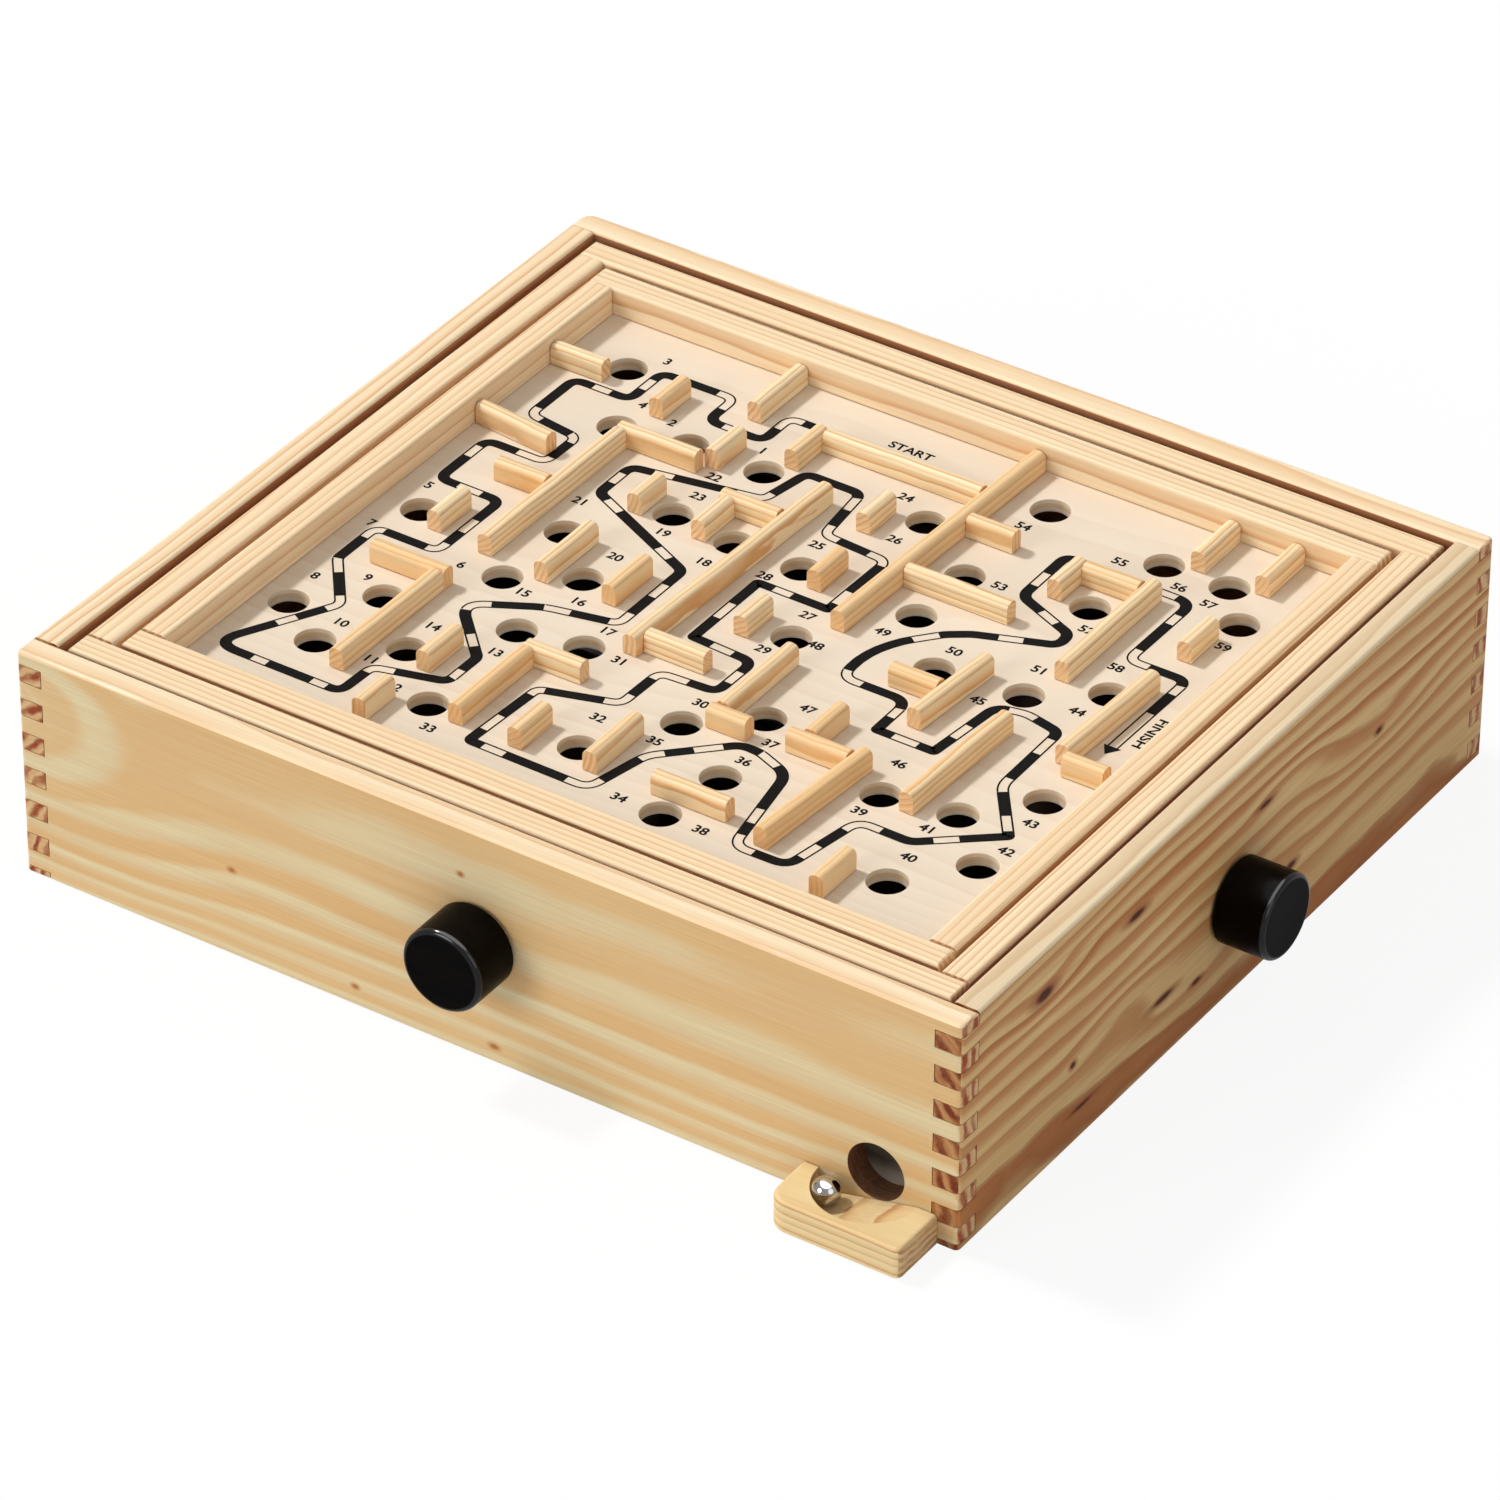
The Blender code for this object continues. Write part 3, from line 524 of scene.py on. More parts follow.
def carve(shape, cutter):
    body, tool = shapeObject("carved", shape), shapeObject("cutter", cutter)
    boolean = body.modifiers.new("cuts", "BOOLEAN")
    boolean.operation, boolean.object, boolean.solver = "DIFFERENCE", tool, "EXACT"
    left = appliedShape(body)
    bpy.data.objects.remove(tool, do_unlink=True)
    return left


def grainLayers(shape):
    onVerts, onFaces = shape.verts.layers, shape.faces.layers
    return (onVerts.float_vector.get("grain") or onVerts.float_vector.new("grain"),
            onVerts.float.get("tint") or onVerts.float.new("tint"),
            onFaces.float.get("endCut") or onFaces.float.new("endCut"))


def layGrain(shape, verts, along, origin, shift=Vector(), tint=0.0, cutTest=None):
    # each point's place in its log, along the grain first, and the faces that cut across it
    across = up.cross(along)
    rows = Matrix((along, across, along.cross(across)))
    grain, tints, cuts = grainLayers(shape)
    cutTest = cutTest or (lambda normal: abs(normal.dot(along)) > fine["endFace"])
    faces = set()
    for vert in verts:
        vert[grain] = rows @ (vert.co - origin) + shift
        vert[tints] = tint
        faces.update(vert.link_faces)
    for face in faces:
        face.normal_update()
        face[cuts] = 1.0 if cutTest(face.normal) else 0.0


def plyEdge(normal):
    return abs(normal.z) < fine["plyEdge"]


def addPiece(name, shape, surface, body, replaced=(), smooth=32):
    piece = shapeObject(name, shape)
    piece.data.materials.append(surfaces[surface])
    piece.data.shade_smooth()
    piece.data.set_sharp_from_angle(angle=math.radians(smooth))
    weighted = piece.modifiers.new("evenShade", "WEIGHTED_NORMAL")
    weighted.keep_sharp = True
    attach(piece, body)
    if replaced:
        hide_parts(*replaced)
    return piece


def nodeOf(name):
    # outerRailFront stands for outer_rail_front
    return "".join("_" + letter.lower() if letter.isupper() else letter for letter in name)


def randomShift(spread=60):
    # to another place in the log, up to 900 mm along it and so many tenths of a mm across
    return Vector((chance.uniform(-900, 900), chance.uniform(-spread, spread) * 0.1,
                   chance.uniform(-spread, spread) * 0.1)) * mm


# Case panels, each made as the front one is and then turned to its side

panel = {
    "thickness": 8 * mm, "sharp": 1.6 * mm, "blunt": 4 * mm, "arris": 1.2 * mm,
    "foot": 0.4 * mm, "topFinger": 4 * mm, "finger": 5.5 * mm, "leastFinger": 0.6 * mm,
    "seam": 0.26 * mm, "over": 2 * mm, "gapShade": 0.7, "gapFacing": 0.9,
    "exitPlace": 124.8 * mm, "exitHeight": 15.2 * mm, "exitRadius": 8.75 * mm,
    "frontAxle": 37.4 * mm, "rightAxle": 31.6 * mm, "axleHole": 2.8 * mm,
    "pivot": 64 * mm, "pinHole": 1.8 * mm, "pinDepth": 5 * mm,
    "cornerSteps": 8, "footSteps": 2, "arrisSteps": 4, "boreSteps": 64,
}


def fingerLevels():
    levels = [caseHeight, caseHeight - panel["topFinger"]]
    while levels[-1] - panel["finger"] > panel["leastFinger"]:
        levels.append(levels[-1] - panel["finger"])
    return levels + [0]


def shadeGap(shape, faces):
    # painted shade: long-grain faces that look into a gap are darkened evenly, marked by values
    # below 0
    cuts = grainLayers(shape)[2]
    for face in faces:
        if face[cuts] < 0.5:
            face[cuts] = -panel["gapShade"]


def inBore(wall, holes):
    # whether this face lies on the wall of a round hole through the panel, before its turn
    middle = wall.calc_center_median()
    return abs(wall.normal.y) < 0.5 and any(
        math.hypot(middle.x - across, middle.z - height) < radius + fine["near"]
        for across, height, start, end, radius in holes)


def makePanel(name, length, reach, turn, first, corners, surface, top, holes, shift=(0, 0, 0)):
    outside, thick, over, seam = -reach, panel["thickness"], panel["over"], panel["seam"]
    shape = boxShape((-length / 2, outside, 0), (length / 2, outside + thick, caseHeight))
    for side, corner in zip((-1, 1), corners):
        upright = uprightEdges(shape, lambda spot: spot.y < outside + mm and side * spot.x > 0)
        roundEdges(shape, upright, panel[corner], panel["cornerSteps"])
    roundEdges(shape, edgesAt(shape, 0), panel["foot"], panel["footSteps"])
    roundEdges(shape, edgesAt(shape, caseHeight), panel["arris"], panel["arrisSteps"])
    cuts = bmesh.new()
    levels = fingerLevels()
    for index in range(first, len(levels) - 1, 2):
        high = levels[index] + (over if index == 0 else seam / 2)
        low = levels[index + 1] - (over if levels[index + 1] == 0 else seam / 2)
        for side in (-1, 1):
            ends = sorted((side * (length / 2 - thick - seam), side * (length / 2 + over)))
            addBox(cuts, (ends[0], outside - over, low), (ends[1], outside + thick + over, high))
    for across, height, start, end, radius in holes:
        addRod(cuts, (across, outside + start, height), (across, outside + end, height), radius,
               panel["boreSteps"])
    shape = carve(shape, cuts)
    bores = [number for number, wall in enumerate(shape.faces) if inBore(wall, holes)]
    bmesh.ops.rotate(shape, verts=shape.verts, cent=(0, 0, 0), matrix=aboutUp(turn))
    bmesh.ops.translate(shape, verts=shape.verts, vec=caseMiddle)
    outer = caseMiddle + aboutUp(turn) @ Vector((0, outside, 0))
    layGrain(shape, shape.verts, aboutUp(turn) @ xWay, outer, Vector(shift) * mm)
    # the upper edge takes a paler wood, painted light where light falls on the top, and the bores a
    # dark wood, painted shade inside the holes over their rough end grain
    for number, face in enumerate(shape.faces):
        upper = face.normal.z > 0.5 and face.calc_center_median().z > caseHeight - panel["arris"]
        face.material_index = 2 if number in bores else int(upper)
    shadeGap(shape, [face for face in shape.faces
                     if face.normal.dot(caseMiddle - outer) > panel["gapFacing"] * reach])
    piece = addPiece(name, shape, surface, "case", (nodeOf(name),))
    for extra in (top, "shadedBorePine"):
        piece.data.materials.append(surfaces[extra])


def makeCase():
    thick, over = panel["thickness"], panel["over"]
    through = (-over, thick + over)
    blind = (thick - panel["pinDepth"], thick + over)
    pin = (0, panel["pivot"], *blind, panel["pinHole"])
    exitHole = (panel["exitPlace"], panel["exitHeight"], *through, panel["exitRadius"])
    front, frontBlind, right, rightBlind = [
        (0, panel[axle], *depth, panel["axleHole"])
        for axle in ("frontAxle", "rightAxle") for depth in (through, blind)]
    wide, deep = (caseWidth, caseDepth / 2), (caseDepth, caseWidth / 2)
    quarter = math.pi / 2
    # each panel's top edge takes a paler wood than its face: painted light on the top
    makePanel("frontPanel", *wide, 0, 1, ("sharp", "sharp"), "frontPine", "railPine",
              [front, exitHole])
    makePanel("rightPanel", *deep, quarter, 0, ("sharp", "sharp"), "sidePine", "topPine",
              [right, pin])
    makePanel("backPanel", *wide, 2 * quarter, 1, ("sharp", "blunt"), "frontPine", "railPine",
              [frontBlind], (900, 0, 14))
    makePanel("leftPanel", *deep, 3 * quarter, 0, ("blunt", "sharp"), "frontPine", "railPine",
              [rightBlind, pin], (1500, 115, 68))


makeCase()
print("case made")


# Ball tray, ball and the sloping floor

tray = {
    "left": 102.5 * mm, "width": 41.3 * mm, "reach": 18 * mm, "thick": 9.5 * mm,
    "leftRadius": 6.5 * mm, "rightRadius": 2 * mm, "arris": 1.2 * mm, "foot": 0.5 * mm,
    "gap": 0.3 * mm, "over": 2 * mm, "scoopX": 122.7 * mm, "scoopRadius": 15.3 * mm,
    "slope": math.tan(math.radians(13)), "scoopShade": 0.22, "shift": (0.3, 0, 0),
    "leftSteps": 14, "rightSteps": 6, "arrisSteps": 4, "scoopSteps": 96,
}


def makeTray():
    thick, radius = tray["thick"], tray["scoopRadius"]
    back = -caseDepth / 2 - tray["gap"]
    front = back - tray["reach"]
    sides = {"left": tray["left"], "right": tray["left"] + tray["width"]}
    shape = boxShape((sides["left"], front, 0), (sides["right"], back, thick))
    for word, side in sides.items():
        corner = uprightEdges(shape, lambda spot: abs(spot.x - side) < mm
                              and abs(spot.y - front) < mm)
        roundEdges(shape, corner, tray[word + "Radius"], tray[word + "Steps"])
    for height, arris in ((0, tray["foot"]), (thick, tray["arris"])):
        rims = [edge for edge in edgesAt(shape, height)
                if min(vert.co.y for vert in edge.verts) < back - mm]
        roundEdges(shape, rims, arris, tray["arrisSteps"])
    scoop = bmesh.new()
    middle = (tray["scoopX"], -caseDepth / 2)
    addRod(scoop, (*middle, thick / 2), (*middle, thick + tray["over"]), radius,
           tray["scoopSteps"])
    for vert in scoop.verts:
        if vert.co.z < thick:
            vert.co.z = thick - (tray["scoopX"] + radius - vert.co.x) * tray["slope"]
    shape = carve(shape, scoop)
    bmesh.ops.translate(shape, verts=shape.verts, vec=caseMiddle)
    layGrain(shape, shape.verts, xWay, caseMiddle, Vector(tray["shift"]))
    # painted shade: the faces in the scoop's hollow are darkened a little, towards the end-grain
    # colour
    cuts = grainLayers(shape)[2]
    for face in shape.faces:
        spot = face.calc_center_median() - caseMiddle
        if math.hypot(spot.x - middle[0], spot.y - middle[1]) < radius + fine["near"] \
                and spot.z < thick - fine["near"] and face.normal.z > -0.1:
            face[cuts] = tray["scoopShade"]
    addPiece("ballTray", shape, "trayPine", "case", ("ball_tray",))


def makeBall():
    low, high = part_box("steel_ball")
    shape = bmesh.new()
    bmesh.ops.create_icosphere(shape, subdivisions=5, radius=(high.z - low.z) / 2,
                               matrix=Matrix.Translation((low + high) / 2))
    addPiece("steelBall", shape, "ballSteel", "ball", ("steel_ball",), 60)


def makeFloorPly():
    shape = bmesh.new()
    shape.from_mesh(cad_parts["ramp_floor"].data)
    bmesh.ops.remove_doubles(shape, verts=shape.verts, dist=fine["weld"])
    layGrain(shape, shape.verts, xWay, caseMiddle, cutTest=plyEdge)
    addPiece("slopingFloor", shape, "insidePly", "case", ("ramp_floor",))


makeTray()
makeBall()
makeFloorPly()
print("tray, ball and sloping floor made")


# Tipping frames: front and back rails run through, side rails stand between them

rails = {
    "outerReach": (140.1 * mm, 124.6 * mm), "outerWidth": 8.5 * mm,
    "innerReach": (129.8 * mm, 114.3 * mm), "innerWidth": 8.2 * mm,
    "top": 71 * mm, "height": 15 * mm, "arris": 1.2 * mm, "rebate": 3 * mm,
    "seam": 0.3 * mm, "pinHole": 1.8 * mm, "outerLongSeat": 5 * mm,
    "outerShortSeat": 6 * mm, "innerLongSeat": 4.5 * mm, "arrisSteps": 5, "boreSteps": 24,
}


def makeRail(name, low, high, long, body, holes, rebate):
    shape = boxShape(low, high)
    roundEdges(shape, edgesAt(shape, high[2], None if long else 1), rails["arris"],
               rails["arrisSteps"])
    cuts = bmesh.new()
    for start, end in holes:
        addRod(cuts, start, end, rails["pinHole"], rails["boreSteps"])
    if rebate:
        addBox(cuts, *rebate)
    shape = carve(shape, cuts)
    bmesh.ops.translate(shape, verts=shape.verts, vec=caseMiddle)
    middle = caseMiddle + (Vector(low) + Vector(high)) / 2
    layGrain(shape, shape.verts, xWay if long else yWay, middle, randomShift(120),
             chance.uniform(0, 0.45))
    shadeGap(shape, [face for face in shape.faces if abs(face.normal.z) < 0.1 and
                     face.normal.dot(face.calc_center_median() - caseMiddle) > 0])
    addPiece(name, shape, "railPine", body, (nodeOf(name),))


def makeSide(kind, body, word, side):
    # the front and back rails are the long ones
    long = word in ("Front", "Back")
    low, top, pivot = rails["top"] - rails["height"], rails["top"], panel["pivot"]
    over, seam, width = panel["over"], rails["seam"], rails[kind + "Width"]
    reachX, reachY = rails[kind + "Reach"]
    edge = side * (reachY if long else reachX)
    inside = side * ((reachY if long else reachX) - width)
    half = reachX if long else reachY - width - seam

    def spot(along, across, height):
        return (along, across, height) if long else (across, along, height)

    holes, rebate = [], None
    if long or kind == "outer":
        # the outer frame's long rails are bored from within, the others from outside
        start, way = (inside, side) if long and kind == "outer" else (edge, -side)
        depth = rails[kind + ("LongSeat" if long else "ShortSeat")]
        holes = [(spot(0, start - way * over, pivot), spot(0, start + way * depth, pivot))]
    if kind == "inner":
        ends = sorted((inside - side * over, inside + side * rails["rebate"]))
        reach = reachX - width + rails["rebate"] if long else half + over
        rebate = (spot(-reach, ends[0], low - over), spot(reach, ends[1], boardTop + seam))
    near, far = sorted((edge, inside))
    makeRail(kind + "Rail" + word, spot(-half, near, low), spot(half, far, top), long, body,
             holes, rebate)


def makeFrames():
    for kind, body in (("outer", "outer_frame"), ("inner", "maze")):
        for word, side in (("Front", -1), ("Back", 1), ("Left", -1), ("Right", 1)):
            makeSide(kind, body, word, side)


makeFrames()
print("tipping frames made")


# Maze board with its holes

board = {"holeRadius": 5.7 * mm, "rim": 0.3 * mm, "width": 243.2 * mm, "depth": 212.2 * mm,
         "over": 1 * mm, "holeSteps": 64, "rimSteps": 2}
boardHoles = [
    (-0.419, 0.400), (-0.270, 0.292), (-0.360, 0.276), (-0.168, 0.294),
    (-0.205, 0.145), (-0.116, 0.134), (-0.024, 0.132), (-0.286, 0.032),
    (0.145, 0.426), (0.310, 0.400), (0.394, 0.403), (0.441, 0.338),
    (0.041, 0.313), (0.136, 0.236), (0.286, 0.264), (0.134, 0.125),
    (0.393, 0.113), (0.207, 0.036), (0.316, 0.051), (0.042, -0.005),
    (-0.447, -0.029), (-0.215, -0.044), (-0.292, -0.098), (-0.137, -0.171),
    (-0.218, -0.187), (-0.380, -0.219), (-0.462, -0.296), (-0.298, -0.300),
    (-0.392, -0.349), (-0.217, -0.384), (-0.033, -0.357), (0.442, -0.130),
    (0.106, -0.174), (0.034, -0.241), (0.378, -0.214), (0.288, -0.231),
    (0.446, -0.291), (0.127, -0.312), (0.381, -0.380), (0.111, -0.418),
]


def onBoard(share, height=0.0):
    return caseMiddle + Vector((share[0] * board["width"], share[1] * board["depth"],
                                boardTop + height))


def makeBoard():
    shape = boxShape(boardLow, boardHigh)
    cuts = bmesh.new()
    for share in boardHoles:
        addRod(cuts, onBoard(share, boardLow.z - boardTop - board["over"]),
               onBoard(share, board["over"]), board["holeRadius"], board["holeSteps"])
    shape = carve(shape, cuts)
    rims = [edge for edge in edgesAt(shape, boardTop) if edge.calc_length() < mm]
    roundEdges(shape, rims, board["rim"], board["rimSteps"])
    layGrain(shape, shape.verts, xWay, up * boardLow.z, cutTest=plyEdge)
    addPiece("mazeBoard", shape, "boardPly", "maze", ("maze_board",))


makeBoard()
print("board made, with", len(boardHoles), "holes")


# Maze walls: the way they run, the line they stand on, both ends, and degrees askew

stick = {"width": 4.6 * mm, "rise": 6.6 * mm, "arris": 1.9 * mm, "ends": 0.15 * mm,
         "seam": 0.3 * mm, "butt": 0.05 * mm, "offset": 0.5 * mm, "arrisSteps": 6, "endSteps": 2}
wallLines = {
    1: ("x", 0.360, -0.500, -0.427, 0), 2: ("y", -0.331, 0.321, 0.389, 0),
    3: ("y", -0.233, 0.386, 0.500, 0), 4: ("x", 0.180, -0.500, -0.391, -6),
    5: ("y", -0.332, -0.070, 0.247, 0), 6: ("x", 0.247, -0.3395, -0.2115, 0),
    7: ("y", -0.219, 0.249, 0.329, 0), 8: ("x", 0.088, -0.413, -0.332, 0),
    9: ("y", -0.407, -0.061, 0.009, 0), 10: ("y", -0.240, 0.117, 0.178, 0),
    11: ("y", -0.143, 0.318, 0.3915, 0), 12: ("x", 0.383, -0.143, 0.0885, 0),
    13: ("y", 0.0855, 0.039, 0.500, -1.8), 14: ("y", -0.150, 0.112, 0.190, 0),
    15: ("x", 0.190, -0.165, -0.078, 0), 16: ("y", -0.079, -0.154, 0.281, -1.8),
    17: ("y", -0.004, 0.245, 0.309, 0), 18: ("y", 0.0135, 0.099, 0.165, 0),
    19: ("x", 0.319, 0.087, 0.157, 0), 20: ("x", 0.178, 0.083, 0.228, 0),
    21: ("y", 0.246, 0.253, 0.3175, 0), 22: ("x", 0.309, 0.246, 0.339, 0),
    23: ("y", 0.338, 0.1025, 0.328, 0), 24: ("y", 0.350, 0.4105, 0.500, 0),
    25: ("y", 0.4345, 0.409, 0.500, 0), 26: ("y", 0.430, 0.226, 0.295, 0),
    27: ("y", 0.427, -0.0665, 0.152, -2), 28: ("x", -0.0665, 0.4165, 0.485, 0),
    29: ("y", 0.257, -0.089, 0.067, -4), 30: ("x", -0.020, 0.182, 0.256, 0),
    31: ("y", 0.335, -0.248, -0.027, -2), 32: ("y", 0.243, -0.4095, -0.193, -4),
    33: ("x", -0.213, 0.158, 0.249, 0), 34: ("y", 0.181, -0.213, -0.126, 0),
    35: ("x", -0.224, 0.060, 0.112, 0), 36: ("y", 0.072, -0.224, -0.052, 0),
    37: ("x", -0.382, 0.081, 0.179, 0), 38: ("y", 0.335, -0.456, -0.381, 0),
    39: ("y", 0.0055, -0.394, -0.288, 0), 40: ("y", -0.088, -0.4035, -0.334, 0),
    41: ("x", -0.236, -0.1755, -0.099, 0), 42: ("y", -0.168, -0.402, -0.236, 0),
    43: ("y", -0.256, -0.329, -0.254, 0), 44: ("y", -0.261, -0.460, -0.395, 0),
    45: ("y", -0.3375, -0.387, -0.159, 0), 46: ("x", -0.159, -0.432, -0.330, 0),
    47: ("y", -0.2485, -0.0805, 0.036, 0), 48: ("y", -0.160, -0.0755, 0.011, 0),
    49: ("x", -0.131, -0.083, 0.003, 0), 50: ("y", -0.004, -0.040, 0.021, 0),
}
wallGroups = [(5, 6, 7, 8), (11, 12, 13, 19, 20), (14, 15, 16, 49), (21, 22, 23), (27, 28),
              (29, 30), (32, 33, 34), (35, 36), (41, 42), (45, 46)]


def wallEnds(number):
    # both ends of a wall's middle line, and the way it runs
    way, line, start, end, askew = wallLines[number]
    turn = math.radians(askew)
    sizes = (board["width"], board["depth"])
    length, across = sizes if way == "x" else sizes[::-1]
    stop = length / 2 - stick["seam"] - abs(math.sin(turn)) * stick["width"] / 2
    start, end = max(start * length, -stop), min(end * length, stop)
    middle, along = Vector(((start + end) / 2, line * across + stick["offset"], 0)), xWay
    if way == "y":
        middle, along = Vector((line * across - stick["offset"], (start + end) / 2, 0)), yWay
    along = aboutUp(turn) @ along
    half = (end - start) / 2
    return middle - along * half, middle + along * half, along


def insideWall(spot, number):
    start, end, along = wallEnds(number)
    away = spot - (start + end) / 2
    return abs(away.dot(along)) < (end - start).length / 2 and \
        abs(away.dot(up.cross(along))) < stick["width"] / 2 + stick["butt"]


def makeWallSticks():
    grouped = {number for group in wallGroups for number in group}
    groups = wallGroups + [(number,) for number in wallLines if number not in grouped]
    for group in sorted(groups):
        shape = bmesh.new()
        grainLayers(shape)
        for number in group:
            start, end, along = wallEnds(number)
            others = [other for other in group if other != number]
            while any(insideWall(start, other) for other in others):
                start += along * stick["butt"]
            while any(insideWall(end, other) for other in others):
                end -= along * stick["butt"]
            addStick(shape, start, end, along)
        name = "wallStick%02d" % group[0]
        addPiece(name, shape, "stickPine", "maze", ("maze_wall_%02d" % group[0],))


def addStick(shape, start, end, along):
    known = set(shape.verts)
    half = (end - start).length / 2
    bottom, top = boardTop + stick["seam"], boardTop + stick["rise"]
    mine = set(addBox(shape, (-half, -stick["width"] / 2, bottom), (half, stick["width"] / 2, top)))
    longEdges = [edge for edge in edgesAt(shape, top, 0) if set(edge.verts) <= mine]
    roundEdges(shape, longEdges, stick["arris"], stick["arrisSteps"])
    fresh = [vert for vert in shape.verts if vert not in known]
    faces = {face for vert in fresh for face in vert.link_faces}
    endEdges = {edge for face in faces if abs(face.normal.x) > fine["endFace"]
                for edge in face.edges
                if max(vert.co.z for vert in edge.verts) > bottom + mm}
    roundEdges(shape, list(endEdges), stick["ends"], stick["endSteps"])
    fresh = [vert for vert in shape.verts if vert not in known]
    turn = Vector((1, 0)).angle_signed(along.xy)
    middle = (start + end) / 2 + caseMiddle
    bmesh.ops.rotate(shape, verts=fresh, cent=(0, 0, 0), matrix=aboutUp(-turn))
    bmesh.ops.translate(shape, verts=fresh, vec=middle)
    layGrain(shape, fresh, along, middle + up * bottom, randomShift(120),
             chance.uniform(0, 1) ** 2)


makeWallSticks()
print("walls made:", len(wallLines))


# Print on the board: a band of black dashes and outlined cells, numbers and two words

band = {"width": 3.35 * mm, "line": 0.5 * mm, "lift": 0.012 * mm, "thick": 0.03 * mm,
        "bend": 3.6 * mm, "bendShare": 0.49, "bendStep": 9, "lookAhead": 70 * mm,
        "slack": 0.01 * mm, "mitre": 0.5, "arrowHalf": 2.7 * mm, "arrowFoot": (0.449, 0.017),
        "arrowTip": (0.4484, -0.002)}
bandCorners = [
    (-0.165, 0.420), (-0.205, 0.420), (-0.205, 0.355), (-0.2806, 0.355, 4.2), (-0.2806, 0.418),
    (-0.3805, 0.417), (-0.3805, 0.339), (-0.457, 0.339), (-0.457, 0.2365), (-0.385, 0.2245),
    (-0.386, 0.153), (-0.467, 0.153), (-0.467, 0.0447), (-0.382, 0.044), (-0.3825, -0.097),
    (-0.467, -0.097), (-0.467, -0.1815), (-0.410, -0.2656), (-0.4847, -0.4245, 5),
    (-0.311, -0.4245), (-0.309, -0.358), (-0.224, -0.3305), (-0.2235, -0.266),
    (-0.300, -0.1765, 5.5), (-0.219, -0.125, 20), (-0.1315, -0.1025), (-0.1315, 0.042),
    (-0.299, 0.133), (-0.299, 0.206), (-0.137, 0.240), (-0.125, 0.321), (-0.051, 0.321),
    (-0.0405, 0.2145), (0.0476, 0.2075), (0.0456, 0.0735, 0.4), (-0.0485, 0.074, 0.4),
    (-0.0487, -0.0744, 0.4), (0.0338, -0.0795, 4), (0.0325, -0.1595), (-0.040, -0.165),
    (-0.0418, -0.248, 4), (-0.1335, -0.2815, 3), (-0.140, -0.421, 1.5), (0.0187, -0.4225, 5),
    (0.0369, -0.3245, 10), (0.112, -0.2385, 10), (0.138, -0.2405, 8), (0.1834, -0.2608, 8),
    (0.2085, -0.423, 5), (0.2768, -0.4215, 5), (0.2955, -0.295, 5), (0.3625, -0.2955, 6),
    (0.4445, -0.218, 0.4), (0.388, -0.131, 9), (0.3858, 0.006), (0.338, 0.0178, 10),
    (0.303, 0.009, 5), (0.292, -0.1165, 0.4), (0.2178, -0.1165, 0.4), (0.217, -0.0430, 5),
    (0.1305, -0.0435, 6), (0.1275, -0.0004, 25), (0.134, 0.034, 25), (0.148, 0.066, 25),
    (0.180, 0.109, 12), (0.205, 0.129, 12), (0.296, 0.1695, 4), (0.2945, 0.1975, 4),
    (0.2105, 0.238, 5), (0.2096, 0.346, 3), (0.3758, 0.345, 5), (0.3747, 0.1915), (0.4504, 0.192),
    (0.449, 0.017),
]
